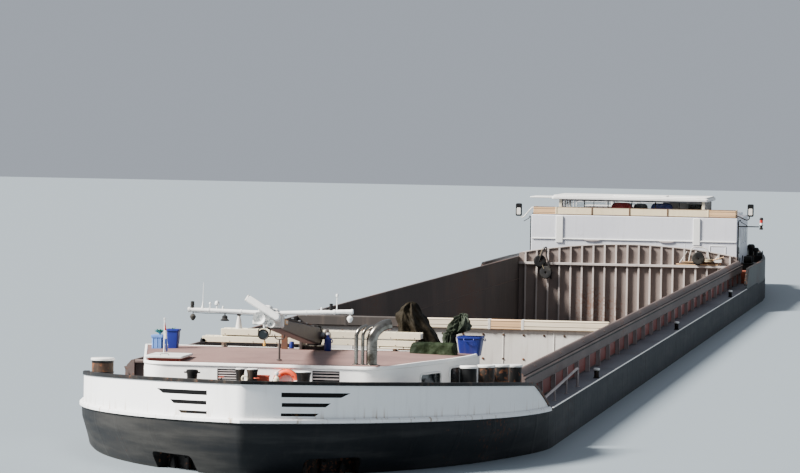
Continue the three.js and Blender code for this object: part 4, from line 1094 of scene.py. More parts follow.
# Tarpaulins over gear. Levels from the ground up: z, starboard and port edge, fore and aft edge.
tarps = {
    "boxTarp": {"replaces": "covered_box", "finish": "tarpGreen", "rests": ["foreRoof"], "power": 5.0,
        "folds": 0.0022, "count": 9, "seed": 4,
        "levels": mm([(508.5, 257.5, 383.5, -4770, -4710), (514, 261.5, 380, -4767.5, -4712.5),
        (525, 264, 377.5, -4765.5, -4714.5), (536, 265, 376.5, -4764.5, -4715.5),
        (540.5, 269, 373.5, -4762, -4718), (541.8, 285, 356, -4752, -4728),
        (540.8, 310, 330, -4744, -4736)])},
    "bundleTarp": {"replaces": "tarpaulin_bundle", "finish": "tarpOlive", "rests": ["foreRoof"],
        "power": 2.6, "folds": 0.0068, "count": 9, "seed": 11,
        "levels": mm([(507, 315, 368, -4672, -4612), (518, 319.5, 365, -4669, -4614),
        (540, 323, 364, -4668, -4614), (556, 325, 368, -4668.5, -4614), (566, 329, 396, -4669, -4613),
        (579, 334, 406, -4668, -4614), (590, 340, 405, -4666.5, -4615.5), (601, 351, 398, -4663, -4619),
        (607.5, 360, 393, -4658, -4624), (609.5, 370, 386, -4650, -4632)])},
    "stackTarp": {"replaces": "dark_tarpaulin", "finish": "tarpBrown",
        "rests": ["hull_bow", "foreDeckPlate"], "power": 3.2, "folds": 0.0066, "count": 11, "seed": 23,
        "levels": mm([(368, 196, 316, -4579, -4456), (420, 197.5, 315, -4577.5, -4458),
        (470, 196, 316, -4577, -4459), (515, 193, 317, -4577, -4460), (542, 191, 309, -4576.5, -4460),
        (570, 190.5, 289, -4575.5, -4461), (598, 192, 268, -4573, -4464), (612, 202, 257, -4568, -4469),
        (623, 215, 249, -4560, -4480), (626.8, 224, 240, -4545, -4495)])},
}


# Cloth hung round a pile: at each level a superellipse |u| ^ p + |v| ^ p = 1 fits the level's
# edges, and is pushed out by folds |sin| of a warped angle, deepest near the ground, and by
# crumples that are a sum of slanted sines
def tarpSurface(levels, power, folds, count, seed, rows=96, columns=220):
    random = np.random.default_rng(seed)
    table = np.array(levels)
    length = np.concatenate([[0], np.cumsum(np.linalg.norm(np.diff(table, axis=0), axis=1))])
    place = np.linspace(0, length[-1], rows)
    z, x0, x1, y0, y1 = (np.interp(place, length, table[:, k])[:, None] for k in range(5))
    turn = (np.arange(columns) * 2 * math.pi / columns)[None]
    c, s = np.cos(turn), np.sin(turn)
    size = (abs(c) ** power + abs(s) ** power) ** (-1 / power)
    up = (place / length[-1])[:, None]
    crumple = np.zeros((rows, columns))
    for k in range(18):
        m, n, phase = random.integers(2, 9 + k), random.uniform(-14 - 2 * k, 26 + 2 * k), random.uniform(0,
            6.28)
        crumple += (1 - 2 * abs(np.sin(0.5 * (m * turn + n * up + phase
            + 0.9 * np.sin(2 * turn + 3 * up + k))))) / (4.5 + 0.8 * k)
    hang = abs(np.sin(count * turn / 2 + 1.3 * np.sin(3 * turn + seed))) * (1 - up) ** 2
    out = folds * (0.9 * hang + 1.5 * crumple * np.minimum(1, (1.02 - up) * 5)) - folds
    x = 0.5 * (x0 + x1) + (0.5 * (x1 - x0) + out) * size * c
    y = 0.5 * (y0 + y1) + (0.5 * (y1 - y0) + out) * size * s
    return np.stack([x, y, z + 0.5 * folds * crumple * up], axis=-1)


# Each pile's sheet as a surface with a thin wall
def addTarps():
    for name, look in tarps.items():
        surface = tarpSurface(look["levels"], look["power"], look["folds"], look["count"], look["seed"])
        part = grid(surface, wrap=True, caps="last")
        piece = addPiece(name, [part], look["finish"], replaces=[look["replaces"]], angle=70)
        shell = piece.modifiers.new("cloth", "SOLIDIFY")
        shell.thickness = 0.0008


# The hull's deck under the raised fore deck and the stack, closed with one plate
def addForeDeck():
    x, y = bowPlan(inward=0.0123, endY=-4.58)
    edge = np.column_stack([x, y, foreDeckZ(y)])
    rows = np.stack([np.column_stack([x, y, boundaryZ(y) + 0.0003]), edge - (0, 0, 0.001), edge,
        edge * (0.97, 1, 1), edge * (0.5, 1, 1), edge * (0.0, 1, 1)])
    addPiece("foreDeckPlate", [grid(rows)], "deckGrey", replaces=["fore_deck"])


addForeDeck()
addTarps()
print("roof gear made")

# The folding mast, lowered forward. Its beam, yard and radar are made along -Y from the hinge
# and then raised by the beam's slope.

mast = {
    "hinge": (0.03, -4.73, 0.55), "rise": 0.1017, "half": 0.016, "pinRadius": 0.009,
    # the beam's side view: y and z from the hinge, anticlockwise
    "outline": mm([(10, -16), (16, -8), (19, 0), (17, 10), (10, 17), (-2, 20.5), (-14, 20), (-300, 15.5),
        (-540, 12), (-540, -12), (-300, -17.5), (-60, -22), (-10, -21)]),
    "yard": mm([(-198, 27.5), (0, 23.5), (183, 31.5)]), "yardY": -0.55, "yardRadius": 0.005,
    "scanner": (-0.014, -0.606, 0.0317), "scannerTurn": 0.54,
}

# Lamps and aerials on the yard: profile, place along it, lift above its middle, and finish:
# 0 white, 1 black, 2 pale lens
lampProfiles = {
    "lantern": mm([(0, 0), (4.2, 0.3), (4.5, 3.5), (3.4, 4.5), (4.4, 6), (4.5, 10.5), (3.4, 12),
        (4.5, 12.6), (4.2, 15), (0, 16)]),
    "hanging": mm([(0, -20.5), (2.6, -20.2), (6.8, -13.5), (7, -10.5), (4.2, -6.5), (2.2, -5.5), (1, -5),
        (1, 0)]),
    "aerial": mm([(3.6, 0), (3.4, 2), (1.7, 7), (1.2, 14), (0.7, 16), (0.5, 58), (0, 58.5)]),
    "ball": mm([(1.1, 0), (1.1, 8.5), (2.2, 9.2), (3, 11.5), (2.2, 14), (0, 14.6)]),
    "dome": mm([(1.6, 0), (1.6, 8), (5, 8.8), (5.6, 10.5), (5.2, 14.5), (3.4, 17.6), (0, 18.6)]),
    "stub": mm([(2.2, 0), (2.2, 5.5), (1.2, 6.8), (0, 7)]),
    "whip": mm([(1.5, 0), (1.2, 12), (0.9, 28.5), (2.6, 30), (3.3, 33), (2.6, 36.2), (0, 37)]),
    "horn": mm([(0, -18.5), (9.6, -18.2), (10.4, -16.5), (6.2, -12.5), (6.6, -8.5), (4.2, -5.8), (1.6, -5),
        (1.2, 0)]),
}
lamps = [("lantern", -0.188, 0.004, 1), ("hanging", -0.186, -0.004, 1), ("aerial", -0.164, 0.0045, 0),
    ("ball", -0.147, 0.0045, 0), ("dome", -0.131, 0.0045, 0), ("stub", -0.117, 0.0045, 0),
    ("horn", -0.112, -0.004, 1), ("stub", 0.11, 0.0045, 0), ("stub", 0.122, 0.0045, 1),
    ("lantern", 0.132, 0.004, 1), ("whip", 0.145, 0.0045, 0), ("hanging", 0.176, -0.004, 0)]


# An item drawn along the level beam, turned up by the beam's slope and set on the hinge
def raised(item):
    part, number = item
    return moved(turned(part, -mast["rise"], "X"), *mast["hinge"]), number


# Height of the yard's middle line at one place along it
def yardZ(px):
    return float(np.interp(px, *zip(*mast["yard"])))


# Pedestal, beam, yard with its lamps, radar gearbox and scanner
def addMast():
    half = mast["half"]
    x, y, z = mast["hinge"]
    # pedestal: a foot with two cheeks whose tops are round about the hinge, and the pin's nuts
    arc = np.linspace(math.pi, 0, 12)
    cheek = [(y - 0.018, 0.513), (y + 0.036, 0.513), (y + 0.036, 0.53)]
    cheek += [(y + 0.018 * math.cos(t), z + 0.016 * math.sin(t)) for t in arc[::-1]]
    items = [(slab(cheek, x + side * 0.0305 - 0.0035, x + side * 0.0305 + 0.0035, 0.0012, "x"), 0)
        for side in (-1, 1)]
    items.append((box(x - 0.034, x + 0.034, y + 0.002, y + 0.036, 0.5125, 0.524, 0.0015), 0))
    nut = np.array(mm([(0, 0), (8.5, 0), (8.5, 3.5), (6, 5.5), (0, 5.5)]))
    items += [(lathe(nut * (1, side), (x + side * 0.034, y, z), "x", 20), 1) for side in (1, -1)]
    items += [(lathe(mm([(2.4, 0), (2.4, 2.4), (1.2, 3.4), (0, 3.4)]), (x + dx, y + dy, 0.524), "z", 8), 1)
        for dx in (-0.02, 0, 0.02) for dy in (0.009, 0.029)]
    addPiece("mastPedestal", items, "mastTaupe bareSteel", replaces=["mast_pedestal"])
    # the beam, its black heel band, its pin, a service panel, cable clips and the head block
    items = [(slab(mast["outline"], -half, half, 0.0022, "x"), 0)]
    heel = mm([(14, -13.5), (19.5, -8), (21.5, 0), (19.5, 11.5), (11.5, 19.5), (-2, 22.8), (-16, 22.2),
        (-12, 15), (0, 10), (6, 0), (4, -10), (-4, -22.5)])
    items.append((slab(heel, -half - 0.0012, half + 0.0012, 0.0008, "x"), 1))
    items.append((rod((-0.0265, 0, 0), (0.0265, 0, 0), mast["pinRadius"], 24), 2))
    items.append((box(half - 0.001, half + 0.0024, -0.496, -0.462, 0.002, 0.013, 0.0012), 3))
    items.append((box(half + 0.0016, half + 0.0028, -0.49, -0.468, 0.0045, 0.0105, 0.0004), 4))
    items.append((box(-0.01, 0.012, -0.44, -0.414, 0.0125, 0.017, 0.0012), 3))
    items.append((box(-0.005, 0.007, -0.435, -0.419, 0.0165, 0.0176, 0.0004), 1))
    cable = smooth(mm([(13.5, -500, 14.5), (15, -380, 16.5), (13, -250, 18.5), (15, -120, 20.5),
        (14, -40, 21.2)]), 30)
    items.append((sweep(cable, circle(0.0013, 8)), 1))
    clip = box(0.011, 0.0165, -0.0015, 0.0015, 0.0135, 0.017, 0.0004)
    items.append((repeated(clip,
        [(0, place, 0.0009 - place * 0.0142) for place in (-0.47, -0.38, -0.29, -0.2, -0.11)]), 2))
    items.append((box(-0.02, 0.02, -0.544, -0.516, -0.008, 0.022, 0.003), 4))
    items += [(lathe(mm([(2.6, 0), (2.6, 2), (0, 2.6)]), (dx, dy, 0.022), "z", 8), 2)
        for dx in (-0.014, 0.014) for dy in (-0.538, -0.522)]
    addPiece("mastBeam", [raised(item) for item in items],
        "mastTaupe blackSteel bareSteel orangeWood whitePlate", body="mast",
        replaces=["mast_arm"])
    # the yard with its lamps
    yardY, radius = mast["yardY"], mast["yardRadius"]
    ends = [(px, yardY, pz) for px, pz in mast["yard"]]
    tube = sweep(np.array(ends), circle(radius, 20))
    items = [(tube, 0), (box(-0.012, 0.012, -0.558, -0.5443, 0.006, 0.034, 0.003), 0)]
    items += [(lathe([(radius + 0.0008, -0.002), (radius + 0.0008, 0.002)], (px, yardY, yardZ(px)), "x",
        20), 0) for px in (-0.195, -0.15, -0.075, 0.075, 0.14, 0.18)]
    for kind, px, lift, number in lamps:
        items.append((lathe(lampProfiles[kind], (px, yardY, yardZ(px) + lift), "z", 18), number))
    wire = smooth([(-0.186, yardY + 0.001, 0.0215), (-0.15, yardY + 0.001, 0.0195),
        (-0.112, yardY + 0.001, 0.02), (-0.06, yardY + 0.001, 0.018), (-0.012, yardY + 0.001, 0.018)], 30)
    items.append((sweep(wire, circle(0.0006, 6)), 1))
    addPiece("mastYard", [raised(item) for item in items], "white rubber", body="mast",
        replaces=["mast_yard"])
    # radar gearbox with its motor, loud hailers, searchlight and a deck lamp under it
    sx, _, sz = mast["scanner"]
    items = [(slab(rounded(sx - 0.015, sx + 0.015, 0.004, 0.04, 0.007, 6), -0.5865, -0.5583, 0.003, "y"),
        0), (slab(rounded(sx + 0.01, sx + 0.034, 0.004, 0.026, 0.006, 6), -0.584, -0.5583, 0.003, "y"), 3),
        (lathe(mm([(0, -595.8), (6, -595.5), (6.2, -588), (7.8, -586.5), (7.8, -584)]), (sx, 0, sz), "y",
        24), 0)]
    bell = mm([(0, -12), (3.4, -12), (3.6, -17), (11.5, -26), (13.5, -31), (14.2, -31.5), (13.8, -29),
        (11.8, -24), (6, -12), (5.5, 6), (3, 9), (0, 9)])
    items.append((lathe(np.array(bell) * (1, 0.8), (sx - 0.011, -0.569, 0.01), "y", 28), 0))
    items.append((turned(lathe(np.array(bell) * 0.62, (sx + 0.012, -0.576, -0.002), "y", 24), 0.25, "Z",
        (sx + 0.012, -0.576, -0.002)), 0))
    items.append((box(sx - 0.03, sx + 0.01, -0.57, -0.562, -0.004, 0.008, 0.002), 3))
    lamp = mm([(0, -13), (9.4, -13.2), (11.6, -14.6), (12.4, -13.6), (12.4, -10), (11.2, -9), (10.6, 2),
        (7, 8.5), (0, 10)])
    items.append((lathe(lamp, (sx - 0.002, -0.57, -0.0265), "y", 28), 1))
    items.append((lathe(mm([(0, -13.6), (8.8, -14), (9.2, -13)]), (sx - 0.002, -0.57, -0.0265), "y", 28),
        2))
    yoke = sweep(smooth([(sx - 0.015, -0.57, -0.0265), (sx - 0.0145, -0.57, -0.014),
        (sx - 0.002, -0.57, -0.0105), (sx + 0.0105, -0.57, -0.014), (sx + 0.011, -0.57, -0.0265)], 24),
        circle(0.0014, 8), (0, 1, 0))
    items += [(yoke, 1), (rod((sx - 0.002, -0.57, -0.011), (sx - 0.002, -0.57, 0.006), 0.003, 14), 0)]
    items.append((lathe(mm([(0, -53), (2.4, -52.6), (3.2, -50), (3.2, -45), (2.4, -43), (2.4, -41),
        (1.2, -40), (1.2, -36)]), (sx - 0.001, -0.568, 0), "z", 18), 4))
    addPiece("radarGearbox", [raised(item) for item in items], "white blackSteel glass whitePlate amber",
        body="mast", replaces=["radar_gearbox"])
    blade = slab(rounded(-0.045, 0.045, -0.008, 0.008, 0.0072, 8), -0.005, 0.0048, 0.0026, "y")
    end = slab(rounded(-0.0452, -0.0405, -0.0078, 0.0078, 0.0022, 5), -0.0048, 0.0046, 0.002, "y")
    neck = lathe(mm([(8, 4), (8.2, 8), (7, 10), (0, 10)]), (0, 0, 0), "y", 24)
    scanner = [(moved(turned(part, mast["scannerTurn"], "Y"), *mast["scanner"]), number)
        for part, number in ((blade, 0), (end, 1), (neck, 0))]
    addPiece("radarScanner", [raised(item) for item in scanner], "white whitePlate",
        body="scanner", replaces=["radar_scanner"])


addMast()
print("mast made")

crutch = {"foot": (0.022, -5.15, 0), "jug": (0.072, -4.785, 0), "can": (-0.03, -4.705, 0)}


# Under the mast: the crutch that it lies in when lowered, a water jug and a small can
def addMastCrutch():
    post = mm([(6.5, 515), (6.5, 517), (2.6, 518), (2.2, 562), (0, 564)])
    items = [(lathe(post, crutch["foot"], "z", 20), 2)]
    cradle = smooth(mm([(10, -5150, 574), (13, -5150, 565.5), (22, -5150, 563.5), (31, -5150, 565.5),
        (34, -5150, 574)]), 24)
    items.append((sweep(cradle, circle(0.0014, 10), (0, 1, 0)), 2))
    jug = mm([(0, 516.5), (7.8, 516.8), (8.6, 519), (8.6, 542), (6, 548), (3.6, 550), (3.6, 556),
        (0, 556.5)])
    items.append((lathe(jug, crutch["jug"], "z", 24), 1))
    items.append((ringPart((0.0795, -4.785, 0.541), "y", 0.0042, 0.0012, 20, 8), 1))
    cap = mm([(4, 555.5), (4.4, 560), (0, 560.5)])
    items.append((lathe(cap, crutch["jug"], "z", 18), 0))
    can = mm([(0, 516.5), (6, 516.8), (6, 531), (5, 533), (0, 533.2)])
    items.append((lathe(can, crutch["can"], "z", 20), 1))
    addPiece("mastCrutch", items, "white blue mastTaupe")


addMastCrutch()

# Foredeck gear

deckGear = {
    # bollards: x, y, radius, top, foot, how far up the rope and rust reach
    "bollards": {
        "bollardsPort": ("bow_bollards_port",
            mm([(425, -4880, 19, 497, 423, 456), (452, -4765, 19, 493, 420, 453),
            (472, -4650, 19, 488, 416, 449)])),
        "bollardStarboard": ("bow_bollard_starboard", mm([(-455, -4880, 26, 493, 418.5, 481)])),
        "bollardCoaming": ("coaming_bollard", mm([(490, -4535, 18, 481, 370.5, 438)])),
    },
    "windlassY": -5.352,
}


# A bollard: a straight barrel, weathered below a level, black above it, with a white flanged cap
def bollardItems(x, y, radius, top, foot, worn):
    barrel = [(radius + 0.003, foot), (radius + 0.003, foot + 0.003), (radius, foot + 0.004),
        (radius, worn)]
    band = [(radius, worn), (radius + 0.0004, worn + 0.0004), (radius + 0.0004, top - 0.0065),
        (radius, top - 0.006)]
    cap = [(radius, top - 0.0062), (radius + 0.0022, top - 0.0058), (radius + 0.0026, top - 0.0045),
        (radius + 0.0026, top - 0.0016), (radius + 0.0014, top - 0.0002), (radius * 0.85, top), (0.0, top)]
    return [(lathe(barrel, (x, y, 0), "z", 40), 1), (lathe(band, (x, y, 0), "z", 40), 0),
        (lathe(cap, (x, y, 0), "z", 40), 2)]


# Bollards, windlass, lifebuoy, flag and anchors
def addDeckGear():
    looks = "blackSteel rustySteel white rope deckGrey"
    for name, (node, rows) in deckGear["bollards"].items():
        items = []
        for x, y, radius, top, foot, worn in rows:
            items += bollardItems(x, y, radius, top, foot, worn)
            if name != "bollardStarboard":
                for k in range(3):
                    turn = ringPart((x, y, 0), "z", radius + 0.0032, 0.0034, 36, 10)
                    lean = turned(turn, 0.05 * (-1) ** k, "X", (x, y, 0))
                    items.append((moved(lean, 0, 0, worn - 0.022 + 0.0062 * k), 3))
            else:
                items.append((ringPart((x, y, worn - 0.022), "z", radius + 0.0008, 0.0012, 40, 8), 0))
        if name == "bollardsPort":
            foot = mm([(400, -4905), (440, -4905), (494, -4628), (452, -4628)])
            items.append((slab(foot, float(foreDeckZ(-4.628)) + 0.0005, float(foreDeckZ(-4.905)) + 0.009,
                0.002), 1))
        addPiece(name, items, looks, replaces=[node])
    # windlass: foot plate, gearbox with its motor, warping drums, chain wheels and brake handles
    y = deckGear["windlassY"]
    deck = float(foreDeckZ(y))
    drum = lambda radius, low, top: [(radius * 1.25, low), (radius * 1.25, low + 0.003),
        (radius * 0.86, low + 0.01), (radius * 0.8, (low + top) / 2), (radius * 0.94, top - 0.01),
        (radius * 1.06, top - 0.0045), (radius * 1.06, top - 0.003), (radius * 0.95, top - 0.0026)]
    cap = lambda radius, top: [(radius * 0.95, top - 0.0028), (radius * 1.0, top - 0.0024),
        (radius * 1.0, top - 0.0006), (radius * 0.8, top), (0.0, top)]
    items = [(box(-0.16, 0.138, y - 0.02, y + 0.02, deck - 0.003, deck + 0.009, 0.002), 0)]
    for x, radius, top in ((-0.03, 0.0105, 0.508), (-0.002, 0.0125, 0.508), (-0.14, 0.013, 0.502),
            (0.115, 0.0165, 0.505)):
        items += [(lathe(drum(radius, deck + 0.006, top), (x, y, 0), "z", 32), 0),
            (lathe(cap(radius, top), (x, y, 0), "z", 32), 0 if x == -0.14 else 2)]
    items.append((rod((-0.1585, y, 0.4955), (-0.1215, y, 0.4955), 0.0018, 10), 0))
    items += [(lathe(mm([(0, 20), (10, 20), (18, 22), (18, 26), (13, 29), (13, 35), (18, 38), (18, 42),
        (0, 42)]), (side, y, deck + 0.024), "x", 32), 0) for side in (-0.105, 0.025)]
    items += [(box(0.02, 0.102, y - 0.014, y + 0.014, deck + 0.006, 0.478, 0.003), 4),
        (rod((-0.12, y, deck + 0.024), (0.1, y, deck + 0.024), 0.005, 16), 0),
        (lathe(mm([(0, 0), (11, 0), (11, 30), (7, 34), (0, 34)]), (0.05, y + 0.012, 0.462), "y", 24), 4)]
    for x in (-0.07, 0.01):
        items += [(rod((x, y - 0.01, deck + 0.03), (x, y - 0.012, 0.487), 0.0012, 8), 0),
            (ringPart((x, y - 0.012, 0.487), "z", 0.006, 0.0009, 20, 8), 5)]
    # chain from each chain wheel to its pipe: links turned alternately
    for x, end in ((-0.074, -0.12), (0.056, 0.12)):
        for k in range(9):
            t = (k + 0.5) / 9
            link = ringPart((0, 0, 0), "z" if k % 2 else "x", 0.003, 0.001, 14, 6)
            items.append((moved(link, x + t * (end - x), y - 0.018 - 0.04 * t, deck + 0.03 - 0.026 * t), 0))
        items.append((lathe(mm([(8.5, 0), (8.5, 6), (6, 8), (5, 6), (5, 1)]), (end, y - 0.06, deck + 0.001),
            "z", 24), 0))
    items.append((ringPart((-0.0165, y - 0.016, 0.4855), "y", 0.0062, 0.0018, 24, 10), 6))
    items += [(box(0.002, 0.032, -5.338, -5.322, deck + 0.002, 0.4905, 0.0015), 5),
        (box(0.001, 0.033, -5.339, -5.321, 0.488, 0.4922, 0.001), 5)]
    bottle = mm([(5.8, 460), (6.2, 462), (6.2, 486), (3.4, 490), (2.2, 492.5)])
    items += [(lathe(bottle, (0.05, -5.33, 0), "z", 20), 6),
        (lathe(mm([(0, 492), (4, 492.5), (5.2, 497), (4, 500.5), (0, 501.5)]), (0.05, -5.33, 0), "z", 20),
        2)]
    items.append((rod((0.05, -5.33, deck), (0.05, -5.33, 0.461), 0.003, 10), 0))
    addPiece("anchorWindlass", items, looks + " signalRed cream", replaces=["windlass"])
    # the lifebuoy on its hooks
    x, y, z = lifebuoy["centre"]
    buoy = [(ringPart((x, y, z), "y", lifebuoy["radius"], lifebuoy["thick"], 64, 20), 0)]
    cord = np.linspace(0, 2 * math.pi, 97)
    slack = 0.0318 - 0.001 * abs(np.sin(2 * cord))
    loop = np.column_stack([x + slack * np.cos(cord), np.full(97, y - 0.002), z + slack * np.sin(cord)])
    buoy.append((sweep(loop[:-1], circle(0.0008, 6), (0, 1, 0)), 1))
    buoy += [(rod((x, -5.2555, 0.4865), (x, -5.27, 0.4885), 0.0012, 8), 2) for x in (0.046, 0.074)]
    addPiece("frontLifebuoy", buoy, "buoy rope bareSteel", replaces=["lifebuoy"])
    # furled flag on its staff behind the skylight
    x, y, top = roofGear["staff"]
    staff = [(lathe([(0.0052, 0.5125), (0.0052, 0.5145), (0.0022, 0.517), (0.0016, 0.53),
        (0.0012, top - 0.004), (0.002, top - 0.0035), (0.0022, top - 0.001), (0.0, top)], (x, y, 0), "z",
        14), 0)]
    addPiece("flagStaff", staff, "white")
    fold = np.linspace(0, 1, 90)[:, None]
    down = np.linspace(0, 1, 40)[None]
    swing = 0.0034 * np.sin(fold * 24.0) * (0.5 + 0.5 * down)
    gather = 0.0012 + 0.006 * fold
    surface = np.stack([x + gather * np.cos(0.6) + swing * 0.5 + 0.002 * down,
        y - gather * 0.6 + swing * 0.9 + 0 * down, 0.5925 - 0.046 * down - 0.024 * fold + 0 * swing],
        axis=-1)
    flag = addPiece("furledFlag", [grid(surface)], "flag", angle=80)
    # anchors in the pockets: stock, crown, flukes and a shackle
    for side, word in ((1, "port"), (-1, "starboard")):
        fluke = mm([(39, -30), (55, -24), (56, 4), (46, 18), (41, 2), (39, -14)])
        parts = [box(-0.0075, 0.0075, -0.006, 0.006, -0.029, 0.029, 0.002),
            box(-0.052, 0.052, -0.0068, 0.0068, -0.032, -0.017, 0.003),
            slab(fluke, -0.0058, 0.0058, 0.0016, "y"), mirrored(slab(fluke, -0.0058, 0.0058, 0.0016, "y")),
            ringPart((0, -0.0065, 0.024), "x", 0.0055, 0.0017, 20, 8)]
        inward, turn = 0.0277, pocket["turn"]
        x, y = pocket["x"] - inward * math.sin(turn), pocket["y"] + inward * math.cos(turn)
        placed = [moved(turned(part, side * turn, "Z"), side * x, y, 0.281) for part in parts]
        addPiece("anchor" + word.capitalize(), placed, "blackSteel",
            replaces=["anchor_" + word])


addDeckGear()
print("foredeck gear made")

# The hold: side tanks with the side decks on them, coamings, bulkheads and the divider

hold = {
    "tankY": (-4.3997, 3.3997),
    "bollardYs": (-3.12, -0.49, 2.085),
    # the coaming's section: inner face, top lip, groove and girder, x and z, anticlockwise from its foot
    "girder": mm([(480, 363.8), (485, 363.8), (485, 411), (501.8, 411), (503, 412.2), (503, 439.5),
        (504.8, 440), (506, 440.8), (506, 443.2), (505, 444), (499, 444), (499, 448), (497.5, 449.6),
        (487.8, 460.2), (486, 461), (481.2, 461), (480, 460)]),
    "dividerY": -2.11,
}


# A strip of an outline (x, z) carried between two values of y
def stripPart(outline, y0, y1):
    outline = np.array(outline, float)
    return grid(np.stack([atY(outline, y) for y in (y0, y1)]))


# Side tanks with their decks, rails and bollards, and the coamings with their stays
def addHold():
    looks = "hull deckGrey holdBrown blackSteel white"
    y0, y1 = hold["tankY"]
    turn = np.linspace(0, math.pi / 2, 14)
    bilge = np.column_stack([0.5325 + 0.04 * np.sin(turn), 0.04 * (1 - np.cos(turn))])
    side = [(0.48, 0.0), *bilge, (0.5725, 0.366), (0.5715, 0.368)]
    deck = mm([(571.5, 368), (568.2, 368), (567.5, 367.2), (567.5, 360), (480, 360)])
    for sign, word in ((1, "Port"), (-1, "Starboard")):
        outline = np.array(side + deck[1:])
        ends = [(atY(outline, y), y) for y in (y0, y1)]
        closing = []
        for ring, y in ends:
            middle = np.array([0.52, y, 0.18])
            closing.append((grid(np.stack([ring, np.broadcast_to(middle, ring.shape)])[:,
                list(range(len(ring))) + [0]]), 0))
        # the thin white strip along the deck's edge is a painted highlight where light catches the gunwale
        items = [(box(0.569, 0.5728, y0, 2.69, 0.3668, 0.3692, 0.0006), 4), (stripPart(side, y0, y1), 0),
            (stripPart(deck, y0, y1), 1), (stripPart([(0.48, 0.36), (0.48, 0.0)], y0, y1), 2), *closing]
        for y in hold["bollardYs"]:
            items.append((lathe(mm([(9.5, 360.2), (9.5, 361.6), (7, 362.4), (6.6, 372), (7.2, 381.5)]),
                (0.545, y, 0), "z", 24), 3))
            items.append((lathe(mm([(7.2, 381.2), (8.8, 382.2), (9.2, 383.5), (8.8, 386.8), (7, 388),
                (0, 388.2)]), (0.545, y, 0), "z", 24), 4))
            items.append((rod((0.545, y - 0.013, 0.3745), (0.545, y + 0.013, 0.3745), 0.0017, 10), 3))
        items.append((repeated(box(0.56, 0.5668, -4.35, -4.342, 0.3602, 0.3625),
            [(0, step, 0) for step in np.arange(0, 7.7, 0.57)]), 3))
        if sign > 0:
            rail = smooth(mm([(538, -4288, 361.5), (537, -4280, 378), (536, -4262, 383.5),
                (535, -4000, 392.5), (534, -3600, 407.5), (534, -3530, 410), (534, -3508, 404),
                (534, -3505, 361.5)]), 60)
            items.append((sweep(rail, circle(0.0034, 14), (1, 0, 0)), 5))
            items += [(rod((0.535, y, 0.3602), (0.535, y, 0.3865 + (y + 4.2) * 0.0365), 0.0022, 10), 5)
                for y in (-4.05, -3.78)]
            items += [(lathe(mm([(6.5, 360.2), (6.5, 361.8), (3, 362.4)]), (0.534, y, 0), "z", 16), 5)
                for y in (-4.288, -3.505, -4.05, -3.78)]
        placed = onSide(sign, items)
        addPiece("sideTank" + word, placed, looks + " stayGrey",
            replaces=["side_tank_" + word.lower()])
        # coaming: girder with its fore end on the bow's deck, foot on the side deck, plate and stays
        girder = hold["girder"]
        front, back = ship["coamingFrontY"], y1
        outline = np.array(girder)
        rows = [outline * 0.999 + (0.0005, 0.0004), outline, outline, outline * 0.999 + (0.0005, 0.0004)]
        body = grid(np.stack([atY(ring, y) for ring,
            y in zip(rows, (front, front + 0.0008, back - 0.0008, back))]), wrap=True, caps="first last")
        foot = box(0.48, 0.4852, y0, y1, 0.3603, 0.366)
        panel = box(0.4846, 0.4856, y0 + 0.001, y1 - 0.001, 0.3655, 0.4105, 0.0002)
        inner = box(0.4797, 0.4803, y0 + 0.001, y1 - 0.001, 0.364, 0.4585, 0.0002)
        plate = mm([(484.6, 360.6), (497.5, 360.6), (497.7, 362.5), (496.5, 411.2), (484.6, 411.2)])
        bulb = mm([(496.8, 360.6), (498.6, 360.6), (497.4, 411.2), (495.6, 411.2)])
        offsets = [(0, -k * ship["bay"], 0) for k in range(ship["bays"] + 1)]
        stays = [(repeated(slab(plate, y1 - 0.0057, y1 - 0.0017, 0.0006, "y"), offsets), 1),
            (repeated(slab(bulb, y1 - 0.0072, y1 - 0.0002, 0.0006, "y"), offsets), 1)]
        lug = slab(circle(0.0048, 16) + (0.4925, 0.4515), y1 - 0.147, y1 - 0.144, 0.0006, "y")
        # the two thin black strips along the girder, under its lip and in its groove, are painted shadow
        # lines
        items = [(body, 0), (foot, 0), (panel, 2), (inner, 3),
            (box(0.502, 0.5034, front, y1 - 0.001, 0.4352, 0.439, 0.0003), 4),
            (box(0.498, 0.4996, front, y1 - 0.001, 0.4442, 0.4462, 0.0003), 4), *stays,
            (repeated(lug, [(0, -k * 2 * ship["bay"], 0) for k in range(14)]), 0)]
        items.append((slab(mm([(484.6, 366.5), (504, 366.5), (502, 411.2), (484.6, 411.2)]), front,
            front + 0.004, 0.0008, "y"), 1))
        placed = onSide(sign, items)
        addPiece("coaming" + word, placed, "coamingBrown stayGrey panelRed holdBrown rubber",
            replaces=["coaming_" + word.lower()])
    wide = 0.4797
    low = float(boundaryZ(-4.42)) + 0.0003
    fore = [(box(-wide, wide, -4.407, -4.401, low, 0.4575), 0),
        (box(-wide, wide, -4.42, -4.401, 0.452, 0.461, 0.002), 0)]
    fore.append((repeated(box(-0.45 - 0.002, -0.45 + 0.002, -4.4185, -4.4065, low, 0.4525),
        [(k * 0.1, 0, 0) for k in range(10)]), 1))
    addPiece("coamingFore", fore, "coamingBrown stayGrey", replaces=["coaming_fore"])


